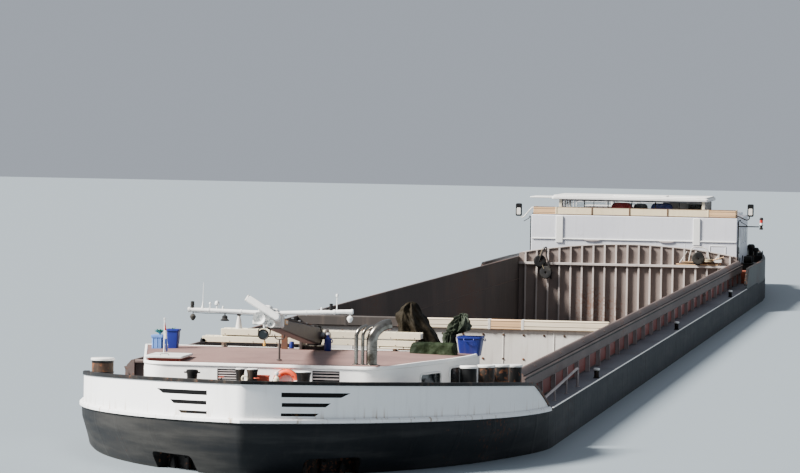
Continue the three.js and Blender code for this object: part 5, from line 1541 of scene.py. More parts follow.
# The aft bulkhead's top is 0.476 + 0.048 cos ^ 0.8 across the hold
def addBulkheads():
    wide, y1 = 0.4797, 3.3997
    x = np.linspace(wide, -wide, 61)
    top = 0.476 + 0.048 * np.cos(math.pi / 2 * x / wide).clip(0) ** 0.8
    sheet = np.concatenate([[(-wide, 0.0503), (wide, 0.0503)], np.column_stack([x, top])])
    items = [(slab(sheet, y1 - 0.0117, y1, 0.0006, "y"), 0)]
    flange = np.column_stack([x, np.full(len(x), y1 - 0.012), top - 0.002])
    items.append((sweep(flange[1:-1], rounded(-0.006, 0.006, -0.0022, 0.0022, 0.0008, 3)), 1))
    for k in range(-9, 10):
        px = k * 0.05
        height = float(np.interp(-px, -x, top)) - 0.005
        items += [(box(px - 0.0014, px + 0.0014, y1 - 0.0235, y1 - 0.0105, 0.0503, height), 1),
            (box(px - 0.0038, px + 0.0038, y1 - 0.0248, y1 - 0.0228, 0.0503, height), 1)]
    items += [(box(-wide, wide, y1 - 0.029, y1 - 0.011, 0.434, 0.437), 1),
        (box(-wide, wide, y1 - 0.0305, y1 - 0.028, 0.427, 0.4372), 1)]
    addPiece("aftBulkhead", items, "bulkheadPink ribPale", replaces=["aft_bulkhead"])
    # two tyres as fenders and a hose hang at its starboard side, and planks and gear lie at the other
    tyre = mm([(-13.5, -8.5), (-4.5, -9.5), (6, -9), (8.5, -7), (9.8, -3.5), (9, 0), (9.8, 3.5), (8.5, 7),
        (6, 9), (-4.5, 9.5), (-13.5, 8.5), (-11.5, 0), (-4.5, 6.5), (5, 6), (6, 0), (5, -6), (-4.5, -6.5),
        (-11.5, 0)])
    ridge = 1 + 0.025 * np.sign(np.sin(np.arange(72) * 2 * math.pi / 3))

    def tyrePart(cx, cy, cz, radius, lean):
        turn = np.arange(72) * 2 * math.pi / 72
        rows = [np.column_stack([(radius + out) * (ridge if out > 0.007 else 1) * np.cos(turn),
            np.full(72, across), (radius + out) * (ridge if out > 0.007 else 1) * np.sin(turn)]) for out,
            across in tyre]
        return moved(turned(grid(np.stack(rows), wrap=True), lean, "Z"), cx, cy, cz)

    items = [(tyrePart(-0.3845, 3.36, 0.442, 0.018, 0.15), 0),
        (tyrePart(-0.356, 3.3585, 0.393, 0.019, -0.2), 0)]
    hose = smooth(mm([(-392, 3356, 425), (-378, 3350, 466), (-364, 3356, 499), (-355.5, 3360, 499.5),
        (-356, 3356, 468), (-345, 3350, 435), (-336, 3352, 395), (-333, 3356, 364)]), 60)
    items.append((sweep(hose, circle(0.0032, 12), (0, 1, 0)), 0))
    lashing = smooth(mm([(-384.5, 3352, 460), (-378, 3352, 484), (-370, 3370, 504)]), 20)
    items += [(sweep(lashing, circle(0.0012, 8), (0, 1, 0)), 1),
        (rod((-0.373, 3.352, 0.425), (-0.365, 3.351, 0.409), 0.0012, 8), 1)]
    addPiece("tyreFenders", items, "rubber rope")
    planks = []
    for x0, x1, z, lean, number in ((0.216, 0.3, 0.4402, 0.03, 0), (0.226, 0.312, 0.4462, -0.02, 1),
            (0.318, 0.398, 0.4405, 0.02, 0), (0.33, 0.412, 0.447, 0.05, 1), (0.24, 0.296, 0.4525, 0.0, 0)):
        planks.append((turned(box(x0, x1, 3.37, 3.385, z - 0.0025, z + 0.0025, 0.0008), lean, "Y",
            ((x0 + x1) / 2, 3.38, z)), number))
    planks += [(tyrePart(0.311, 3.3655, 0.469, 0.018, 0.1), 2),
        (ringPart((0.356, 3.372, 0.456), "z", 0.015, 0.004, 32, 10), 3),
        (ringPart((0.356, 3.372, 0.463), "z", 0.014, 0.0038, 32, 10), 3)]
    frameLine = smooth(mm([(270, 3378, 456), (276, 3377, 490), (286, 3376, 515), (320, 3376, 518),
        (348, 3376, 508), (356, 3377, 480), (362, 3378, 450)]), 50)
    planks.append((sweep(frameLine, circle(0.0022, 10), (0, 1, 0)), 4))
    planks += [(rod((0.23, 3.377, 0.448), (0.262, 3.377, 0.498), 0.0018, 8), 4),
        (rod((0.372, 3.377, 0.452), (0.405, 3.377, 0.487), 0.0018, 8), 4),
        (box(0.38, 0.415, 3.37, 3.386, 0.45, 0.465, 0.002), 4),
        (rod((0.342, 3.371, 0.452), (0.423, 3.371, 0.476), 0.0024, 10), 0)]
    addPiece("ledgeGear", planks, "orangeWood rustySteel rubber rope whitePlate")
    y = hold["dividerY"]
    items = [(box(-0.478, 0.478, y - 0.005, y + 0.005, 0.0503, 0.434), 0),
        (box(-0.478, 0.478, y - 0.014, y + 0.014, 0.24, 0.252, 0.0015), 0)]
    bolt = lathe(mm([(3.6, -0.2), (3.6, -1.6), (2, -2.6), (0, -2.6)]), (0, y - 0.005, 0), "y", 10)
    places = [(bx, 0, bz) for bz in (0.075, 0.225, 0.268, 0.345, 0.418)
        for bx in np.arange(-0.465, 0.47, 0.062)]
    items.append((repeated(bolt, places), 2))
    items.append((repeated(box(-0.467, -0.4638, y - 0.0066, y + 0.0066, 0.0503, 0.4338, 0.0005),
        [(k * 0.155, 0, 0) for k in range(7)]), 1))
    addPiece("holdDivider", items, "dividerWhite whitePlate rustySteel",
        replaces=["hold_divider"])
    beams = [(box(x0 + 0.0004, x1 - 0.0004, y - 0.015, y + 0.015, 0.4343, 0.464, 0.0022),
        (3, 3, 0, 1, 0)[k]) for k,
        (x0, x1) in enumerate(((-0.478, -0.33), (-0.33, -0.14), (-0.14, 0.112), (0.112, 0.214),
        (0.214, 0.478)))]
    straps = [(box(bx - 0.004, bx + 0.004, y - 0.0158, y + 0.0158, 0.4343, 0.4648, 0.0006),
        2 if bx > 0 else 3) for bx in (-0.33, -0.14, 0.112, 0.214)]
    addPiece("dividerBeam", beams + straps, "paleWood orangeWood whitePlate holdBrown",
        replaces=["divider_beam"])


addHold()
addBulkheads()


# A kept node takes a finish in each of its material slots
def dressNode(name, look):
    for slot in frame["nodes"][name].material_slots:
        slot.material = finish[look]


for keptNode, keptLook in {"double_bottom": "holdFloor", "hull_mid": "sternHull",
        "hull_mid_port": "sternHull", "hull_mid_starboard": "sternHull",
                           "lift_shaft_floor": "sternHull", "engine": "engineGreen",
                               "wheelhouse_ram": "bareSteel"}.items():
    dressNode(keptNode, keptLook)
print("hold made")

# The stern: hull, bulwark, propeller, nozzle and rudders

stern = {
    # y, half width at the deck, bottom's height, half width of the bottom, height where the side begins
    "stations": mm([(4110, 560, 0, 522, 40), (4400, 538, 22, 486, 80), (4650, 516, 78, 446, 150),
        (4850, 498, 148, 406, 200), (5000, 484, 208, 374, 240), (5200, 462, 226, 336, 262),
        (5360, 440, 240, 306, 276), (5508, 396, 262, 268, 292)]),
    "bulwarkFrontY": 2.7, "bulwarkTop": 0.448, "bulwarkWall": 0.007, "shaftZ": 0.108, "propellerY": 5.04,
        "rudderX": 0.062, "rudderY": 5.155,
}


# The stern below deck: stations from a smooth curve through the table, and at each one the turn
# from bottom to side is a quarter ellipse. The skeg and the shaft's tube hang under it.
def addSternHull():
    table = smooth(stern["stations"], 60)
    turn = np.linspace(0, math.pi / 2, 12)
    rows = []
    for y, half, low, flat, start in table:
        curve = np.column_stack([flat + (half - flat) * np.sin(turn), np.full(12, y),
            low + (start - low) * (1 - np.cos(turn))])
        deck = [(half, y, 0.36), (0.0, y, 0.36), (-half, y, 0.36)]
        rows.append(np.concatenate([[(0.0, y, low)], curve, deck, curve[::-1] * (-1, 1, 1)]))
    rows = np.stack(rows)
    skeg = slab(mm([(4390, 16), (4560, 50), (4700, 84), (5005, 84), (5005, 132), (4920, 240), (4390, 240)]),
        -0.016, 0.016, 0.007, "x")
    tube = mm([(16.5, 5010), (22.5, 5010.5), (24, 5006), (24, 4870), (18, 4840), (10, 4830)])
    items = [grid(rows, wrap=True, caps="first last"), skeg, lathe(tube, (0, 0, stern["shaftZ"]), "y", 36)]
    addPiece("sternHull", items, "sternHull", replaces=["hull_stern"])


# Points of the stern's deck edge, from port forward round the transom to starboard, and the
# same points moved inward along their normals
def sternEdge(inward, startY=stern["bulwarkFrontY"]):
    table = smooth(stern["stations"], 40)
    corner = np.linspace(0, 1, 9)[1:, None]
    front = [(0.5715, y) for y in (startY, 2.73, 2.765, 2.8, 2.83, 3.0, 3.405, 3.406, 3.74)]
    side = np.concatenate([front, table[:, [1, 0]] - (0.001, 0)])
    bend = (1 - corner) ** 2 * side[-1] + 2 * corner * (1 - corner) * [0.386, 5.507] + corner ** 2 * [0.36,
        5.507]
    side = np.concatenate([side, bend])
    run = np.concatenate([side, side[::-1] * (-1, 1)])
    ahead = np.gradient(run, axis=0)
    ahead = ahead / np.linalg.norm(ahead, axis=1, keepdims=True)
    return run + inward * np.column_stack([-ahead[:, 1], ahead[:, 0]])


# Height of the stern bulwark's top: a straight ramp up to a level run
def sternTopAt(y):
    return np.minimum(stern["bulwarkTop"], 0.376 + (y - 2.69) * 0.5533)


# A wall along the deck's edge, its rail and brackets, and two lockers
def addSternBulwark():
    wall = stern["bulwarkWall"]
    section = []
    for inward, top, lift in ((0, False, 0), (0, True, -0.0012), (0.001, True, 0), (wall - 0.001, True, 0),
            (wall, True, -0.0012), (wall, False, 0)):
        run = sternEdge(inward)
        y = sternEdge(0)[:, 1]
        low = np.where(y > 3.405, 0.3603, 0.3683)
        section.append(np.column_stack([run, np.maximum(low + 0.0005, sternTopAt(y) + lift) if top
            else low]))
    wallPart = grid(np.stack(section, axis=1), wrap=True, caps="first last")
    run = sternEdge(wall / 2 + 0.003, 2.702)
    rail = sweep(np.column_stack([run, sternTopAt(run[:, 1]) + 0.0005]),
        rounded(-0.0065, 0.0065, -0.0012, 0.003, 0.0014, 4))
    brackets = []
    for y in np.arange(3.52, 5.3, 0.22):
        half = float(np.interp(y, [3.74] + [row[0] for row in stern["stations"]],
            [0.5725] + [row[1] for row in stern["stations"]]))
        plate = slab(mm([(0, 0), (0, 70), (-4, 70), (-22, 0)]), -0.0014, 0.0014, 0.0005, "y")
        brackets += bothSides(moved(plate, half - 0.0085, y, 0.3604))
    panel = box(0.472, 0.545, 3.43, 3.434, 0.3603, 0.414, 0.001)
    stiff = repeated(box(0.484, 0.4865, 3.4275, 3.4305, 0.364, 0.4105, 0.0005),
        [(k * 0.021, 0, 0) for k in range(3)])
    addPiece("sternBulwark", [(wallPart, 0)] + [(part, 0) for part in brackets], "sternWhite",
        replaces=["stern_bulwark"])
    addPiece("sternRail", [rail], "blackSteel")
    top = box(0.472, 0.545, 3.433, 3.53, 0.408, 0.4145, 0.0015)
    addPiece("deckLocker", bothSides(panel, stiff, top), "panelOrange")


# A propeller blade between its two faces: at radius r the chord is turned by the pitch, and the
# thickness is a half sine across the chord
def bladePart(turn):
    r = np.linspace(0.012, 0.08, 22)[:, None]
    share = (r - 0.012) / 0.068
    chord = 0.018 * (0.75 + 1.3 * share - 1.25 * share ** 3) * np.sqrt(np.clip(1.02 - share ** 6, 0.02, 1))
    pitch = 1.02 - 0.52 * share
    around = np.linspace(0, 2 * math.pi, 28, endpoint=False)[None]
    u, v = chord * np.cos(around), 0.003 * (1.1 - share) * np.sin(around)
    x = u * np.cos(pitch) - v * np.sin(pitch) + 0.012 * share ** 2
    y = u * np.sin(pitch) + v * np.cos(pitch)
    part = grid(np.stack([x, y, r + 0 * x], axis=-1), wrap=True, caps="first last")
    return turned(part, turn, "Y")


# Propeller, nozzle and rudders; a rudder's section is a usual foil's thickness curve
def addUnderwater():
    y, z = stern["propellerY"], stern["shaftZ"]
    hub = mm([(0, -28), (15, -28), (17, -25), (17, 10), (15, 18), (9, 26), (0, 28)])
    screw = [lathe(hub, (0, 0, 0), "y", 36)] + [bladePart(k * math.pi / 2) for k in range(4)]
    addPiece("screwPropeller", [moved(part, 0, y, z) for part in screw], "bronze", body="screw",
        replaces=["propeller"])
    foil = np.linspace(0, 2 * math.pi, 40, endpoint=False)
    section = np.column_stack([0.097 + 0.007 * np.sin(foil) * (1 - 0.25 * np.cos(foil)),
        0.042 * np.cos(foil)])
    turn = (np.arange(72) * 2 * math.pi / 72)[None]
    ring = np.stack([section[:, :1] * np.cos(turn), section[:, 1:] + 0 * turn,
        section[:, :1] * np.sin(turn)], axis=-1)
    nozzle = grid(np.concatenate([ring, ring[:1]]) + (0, y, z), wrap=True)
    head = slab([(y - 0.03, z + 0.0985), (y + 0.026, z + 0.0975), (y + 0.026, 0.2125), (y - 0.03, 0.208)],
        -0.03, 0.03, 0.003, "x")
    addPiece("propellerNozzle", [nozzle, head], "hull", replaces=["nozzle"])
    t = np.linspace(0, 1, 22)
    half = 0.008 * (1.4845 * np.sqrt(t) - 0.63 * t - 1.758 * t ** 2
        + 1.4215 * t ** 3 - 0.5075 * t ** 4) * 2.0
    foil = np.concatenate([np.column_stack([half, -0.038 + 0.126 * t])[:-1],
        np.column_stack([-half, -0.038 + 0.126 * t])[:0:-1]])
    for side, word in ((1, "port"), (-1, "starboard")):
        blade = slab(foil[::-1] if np.cross(foil[1] - foil[0], foil[2] - foil[1]) < 0 else foil, 0.014,
            0.202, 0.0004)
        stock = lathe(mm([(0, 200.5), (7.2, 200.5), (7.2, 220.5), (0, 220.5)]), (0, 0, 0), "z", 24)
        ends = [box(-0.016, 0.016, -0.036, 0.084, low, low + 0.003, 0.001) for low in (0.014, 0.199)]
        addPiece("rudderBlade" + word.capitalize(),
            [moved(part, side * stern["rudderX"], stern["rudderY"], 0) for part in [blade, stock] + ends],
            "hull", body=word + "_rudder", replaces=["rudder_" + word])


addSternHull()
addSternBulwark()
addUnderwater()
print("stern hull made")

# The aft deckhouse

aftHouse = {
    "low": 0.3603, "top": 0.64, "frontY": 3.65,
    "sections": {
        "aft_house_front": (-0.46, 0.46, 3.65, 3.88), "aft_house_port": (0.315, 0.46, 3.8803, 4.3397),
        "aft_house_starboard": (-0.46, -0.385, 3.8803, 4.3397), "aft_house_rear": (-0.4, 0.4, 4.34, 4.88),
    },
    # windows: wall ("x" or "y"), its place, low and high along it, low and high edge
    "windows": {
        "aft_house_front": [("x", x, 3.795, 3.85, 0.545, 0.6) for x in (0.46, -0.46)],
        "aft_house_port": [("x", 0.46, y, y + 0.08, 0.52, 0.59) for y in (3.93, 4.06, 4.2)],
        "aft_house_starboard": [("x", -0.46, y, y + 0.08, 0.52, 0.59) for y in (3.93, 4.06, 4.2)],
        "aft_house_rear": [("x", x, y, y + 0.09, 0.51, 0.59) for x in (0.4, -0.4)
            for y in (4.4, 4.56, 4.72)]
        + [("y", 4.88, x0, x1, 0.51, 0.59) for x0, x1 in ((-0.33, -0.23), (0.0, 0.11), (0.19, 0.3))],
    },
    # doors in the port and starboard walls, drawn as panels: y0, y1, z1
    "doors": (3.7, 3.77, 0.555),
}


# A window on a flat wall: a raised rounded frame with its glass just inside the frame
def windowItems(wall, at, u0, u1, z0, z1, glass=1, frame=0):
    out = 1 if at > 0 else -1
    outline = rounded(u0, u1, z0, z1, 0.009, 5)
    pane = slab(outline, min(at - out * 0.001, at + out * 0.0008), max(at - out * 0.001, at + out * 0.0008),
        0.0002, wall)
    closed = np.concatenate([outline, outline[:2]])
    section = rounded(-0.0024, 0.0024, -0.0013, 0.0013, 0.0006, 3)
    if wall == "x":
        rim = sweep(np.column_stack([np.full(len(closed), at + out * 0.0008), closed]), section, (1, 0, 0))
    else:
        rim = sweep(atY(closed, at + out * 0.0008), section, (0, 1, 0))
    return [(pane, glass), (rim, frame)]


# The aft deckhouse by its four sections, side lights, shield with mirrors, rails and door
def addAftHouse():
    low, top, front = aftHouse["low"], aftHouse["top"], aftHouse["frontY"]
    looks = "houseWhite glass deckGrey blackSteel white redLens greenLens woodDark stayGrey"
    for name, (x0, x1, y0, y1) in aftHouse["sections"].items():
        items = [(box(x0, x1, y0, y1, low, top - 0.0005, 0.0025), 0),
            (box(x0 + 0.004, x1 - 0.004, y0 + 0.004, y1 - 0.004, top - 0.002, top, 0.0004), 2)]
        for window in aftHouse["windows"][name]:
            items += windowItems(*window)
        if name != "aft_house_rear":
            for wallX in (x0, x1):
                if abs(abs(wallX) - 0.46) < 0.001:
                    out = 0.0016 * np.sign(wallX)
                    items.append((box(min(wallX, wallX + out), max(wallX, wallX + out), y0 + 0.003,
                        y1 - 0.001, 0.531, 0.535, 0.0005) if name == "aft_house_front"
                        else box(min(wallX, wallX + out), max(wallX, wallX + out), y0, y1, 0.622, 0.627,
                        0.0005), 0))
        if name == "aft_house_front":
            for x, half, z0, z1, deep in ((-0.333, 0.0155, 0.516, 0.636, 0.006),
                    (0.28, 0.0155, 0.516, 0.636, 0.006), (0.0, 0.456, 0.531, 0.536, 0.005)):
                items.append((box(x - half, x + half, front - deep, front + 0.001, z0, z1, 0.0014), 4))
            # half moon grips under the shelf
            for x0, x1 in ((-0.222, -0.15), (0.113, 0.18)):
                arc = np.linspace(0, math.pi, 16)
                cup = [((x0 + x1) / 2 + (x1 - x0) / 2 * math.cos(t), 0.5325 - 0.0085 * math.sin(t) ** 0.8)
                    for t in arc]
                items.append((slab(cup[::-1], front - 0.0065, front + 0.001, 0.0012, "y"), 8))
            closed = rounded(0.34, 0.41, 0.476, 0.515, 0.002, 3)
            rimPath = np.concatenate([closed, closed[:2]])
            items.append((sweep(atY(rimPath, front - 0.0008),
                rounded(-0.0016, 0.0016, -0.001, 0.001, 0.0005, 3), (0, 1, 0)), 4))
            items += [(box(x - 0.0008, x + 0.0008, front - 0.0007, front + 0.001, 0.362, 0.5305, 0.0003),
                4) for x in (-0.3, -0.1, 0.1, 0.23)]
            # side lights on their arms: screen, lens and caps
            for side, lens in ((1, 5), (-1, 6)):
                parts = [(box(0.459, 0.5535, 3.699, 3.703, 0.6005, 0.6055, 0.001), 3),
                    (box(0.459, 0.463, 3.693, 3.709, 0.594, 0.613, 0.001), 3)]
                foot = mm([(0, 590), (8, 590.5), (8.5, 596.5), (6, 598.5), (6, 607), (8.4, 608.5),
                    (8.4, 610.5), (0, 611)])
                collar = mm([(0, 610.5), (7, 610.5), (7, 621), (0, 621)])
                light = mm([(0, 620.5), (7.2, 620.5), (7.2, 634), (0, 634)])
                lid = mm([(0, 633.5), (8.5, 634), (8.5, 638), (6, 644), (0, 645)])
                for profile, number in ((foot, 3), (collar, 4), (light, lens), (lid, 3)):
                    parts.append((lathe(profile, (0.563, 3.701, 0), "z", 24), number))
                if side < 0:
                    # the starboard one is swung back along the wall
                    parts = [(moved(mirrored(part), 0.56 - 0.469, 3.849 - 3.701, 0), number)
                        for part, number in parts[2:]]
                    parts += [(box(-0.4665, -0.4625, 3.699, 3.845, 0.6005, 0.6055, 0.001), 3),
                        (box(-0.463, -0.459, 3.693, 3.709, 0.594, 0.613, 0.001), 3)]
                items += parts
            # doors in the side walls, with frame, handle and step, and pipes up the corner
            y0d, y1d, z1d = aftHouse["doors"]
            for side in (1, -1):
                door = [(box(0.4595, 0.4625, y0d, y1d, 0.368, z1d, 0.001), 4),
                    (box(0.4615, 0.464, y0d + 0.008, y1d - 0.008, 0.48, z1d - 0.012, 0.0006), 1),
                    (rod((0.4665, y1d - 0.012, 0.44), (0.4665, y1d - 0.012, 0.462), 0.0014, 8), 3),
                    (box(0.46, 0.472, y0d - 0.004, y1d + 0.004, 0.3605, 0.368, 0.001), 2),
                    (rod((0.464, 3.664, 0.372), (0.464, 3.664, 0.62), 0.0028, 12), 3),
                    (rod((0.4635, 3.676, 0.42), (0.4635, 3.676, 0.63), 0.0016, 10), 3)]
                door.append((sweep(smooth(mm([(462, 3664, 618), (470, 3672, 632), (476, 3690, 622),
                    (500, 3700, 607)]), 24), circle(0.0016, 8), (0, 1, 0)), 3))
                items += onSide(side, door)
        addPiece("".join(word.capitalize() for word in name.split("_")), items, looks,
            replaces=[name])
    # shield: wood at its ends, cream panels between battens, a dark brown sill, returns and mirrors
    items = [(box(-0.452, 0.452, 3.6515, 3.6575, 0.6403, 0.6435, 0.0008), 7)]
    for x0, x1, number in ((-0.452, -0.35, 1), (-0.3495, -0.189, 0), (-0.1885, -0.021, 0),
            (-0.0205, 0.044, 0), (0.0445, 0.149, 0), (0.1495, 0.3285, 0), (0.329, 0.452, 1)):
        items.append((box(x0, x1, 3.6522, 3.6568, 0.643, 0.674, 0.0008), number))
    items += [(box(x - 0.003, x + 0.003, 3.6505, 3.653, 0.643, 0.6745, 0.0006), 0 if number else 7)
        for x, number in ((-0.35, 1), (-0.189, 0), (0.149, 0), (0.329, 1), (-0.021, 0))]
    items += [(part, 1) for part in bothSides(box(0.447, 0.452, 3.657, 3.77, 0.643, 0.674, 0.0008))]
    items += [(part, 7) for part in bothSides(box(0.4465, 0.4525, 3.657, 3.77, 0.6403, 0.6435, 0.0008))]
    items.append((box(-0.4515, 0.4515, 3.6515, 3.6578, 0.6735, 0.6755, 0.0006), 7))
    for side in (1, -1):
        low, high, arm = ((0.648, 0.704, 0.652), (0.631, 0.688, 0.669))[side < 0]
        frameOut = rounded(0.5035, 0.5315, low, high, 0.006, 5)
        bend = [(0.448, 3.658, arm), (0.47, 3.656, arm - 0.006), (0.498, 3.652, low - 0.014),
            (0.511, 3.652, low - 0.01), (0.513, 3.652, low + 0.006)]
        if side < 0:
            bend = [(0.448, 3.658, arm), (0.46, 3.657, arm - 0.001), (0.498, 3.652, low - 0.005),
                (0.508, 3.652, low + 0.003)]
        parts = [(sweep(smooth(bend, 30), circle(0.0026, 10), (0, 1, 0)), 4 if side < 0 else 3),
            (slab(frameOut, 3.648, 3.655, 0.002, "y"), 3),
            (slab(rounded(0.5065, 0.5285, low + 0.004, high - 0.004, 0.005, 5), 3.6535, 3.656, 0.0006, "y"),
            5), (slab(rounded(0.509, 0.526, low + 0.007, high - 0.02, 0.003, 5), 3.6468, 3.649, 0.0006,
            "y"), 4)]
        items += onSide(side, parts)
    addPiece("roofShield", items,
        "creamPanel orangeWood blackSteel blackSteel whitePlate chrome greenLens woodDark",
        replaces=["roof_shield"])
    # rails round the rear roof
    rail = mm([(180, 4872), (-392, 4872), (-392, 4352)])
    rails = []
    for height, radius in ((0.7045, 0.0026), (0.674, 0.0018)):
        for (xa, ya), (xb, yb) in zip(rail[:-1], rail[1:]):
            rails.append(rod((xa, ya, height), (xb, yb, height), radius, 12))
    for (xa, ya), (xb, yb) in zip(rail[:-1], rail[1:]):
        steps = max(2, round(math.hypot(xb - xa, yb - ya) / 0.13))
        rails += [lathe(mm([(5.5, 640), (5.5, 642), (2.4, 643), (2.4, 704.5), (0, 706)]),
            (xa + (xb - xa) * k / steps, ya + (yb - ya) * k / steps, 0), "z", 12) for k in range(steps + 1)]
    addPiece("roofRails", rails, "white")
    lockers = [(box(-0.3, -0.06, 4.42, 4.56, 0.64, 0.664, 0.003), 0),
        (box(-0.305, -0.055, 4.415, 4.565, 0.662, 0.668, 0.002), 0),
        (box(0.12, 0.22, 4.45, 4.53, 0.64, 0.67, 0.004), 1)]
    lockers += [(lathe(mm([(10, 640), (10, 690), (18, 694), (18, 700), (8, 708), (0, 709)]), (x, 4.7, 0),
        "z", 28), 0) for x in (-0.2, 0.24)]
    addPiece("roofLockers", lockers, "white paleBlue")
    leaf = [(box(-0.15, -0.08, 4.8805, 4.8838, 0.372, 0.565, 0.001), 0),
        (slab(rounded(-0.138, -0.092, 0.48, 0.548, 0.008, 5), 4.883, 4.8846, 0.0004, "y"), 1),
        (rod((-0.088, 4.8875, 0.44), (-0.088, 4.8875, 0.462), 0.0014, 8), 2),
        (rod((-0.088, 4.883, 0.442), (-0.088, 4.8875, 0.442), 0.001, 8), 2),
        (rod((-0.088, 4.883, 0.46), (-0.088, 4.8875, 0.46), 0.001, 8), 2)]
    leaf += [(rod((-0.152, 4.886, z), (-0.152, 4.886, z + 0.016), 0.0017, 10), 2) for z in (0.395, 0.53)]
    addPiece("houseDoor", leaf, "whitePlate glass bareSteel", body="house_door",
        replaces=["aft_house_door"])


addAftHouse()
print("aft house made")

# The wheelhouse, which rises on its ram

cabin = {"x": (-0.365, 0.295), "y": (3.9, 4.31), "z": (0.444, 0.7), "wall": 0.008, "sill": 0.588,
    "head": 0.698, "acrossPanes": 6, "sidePanes": 4}


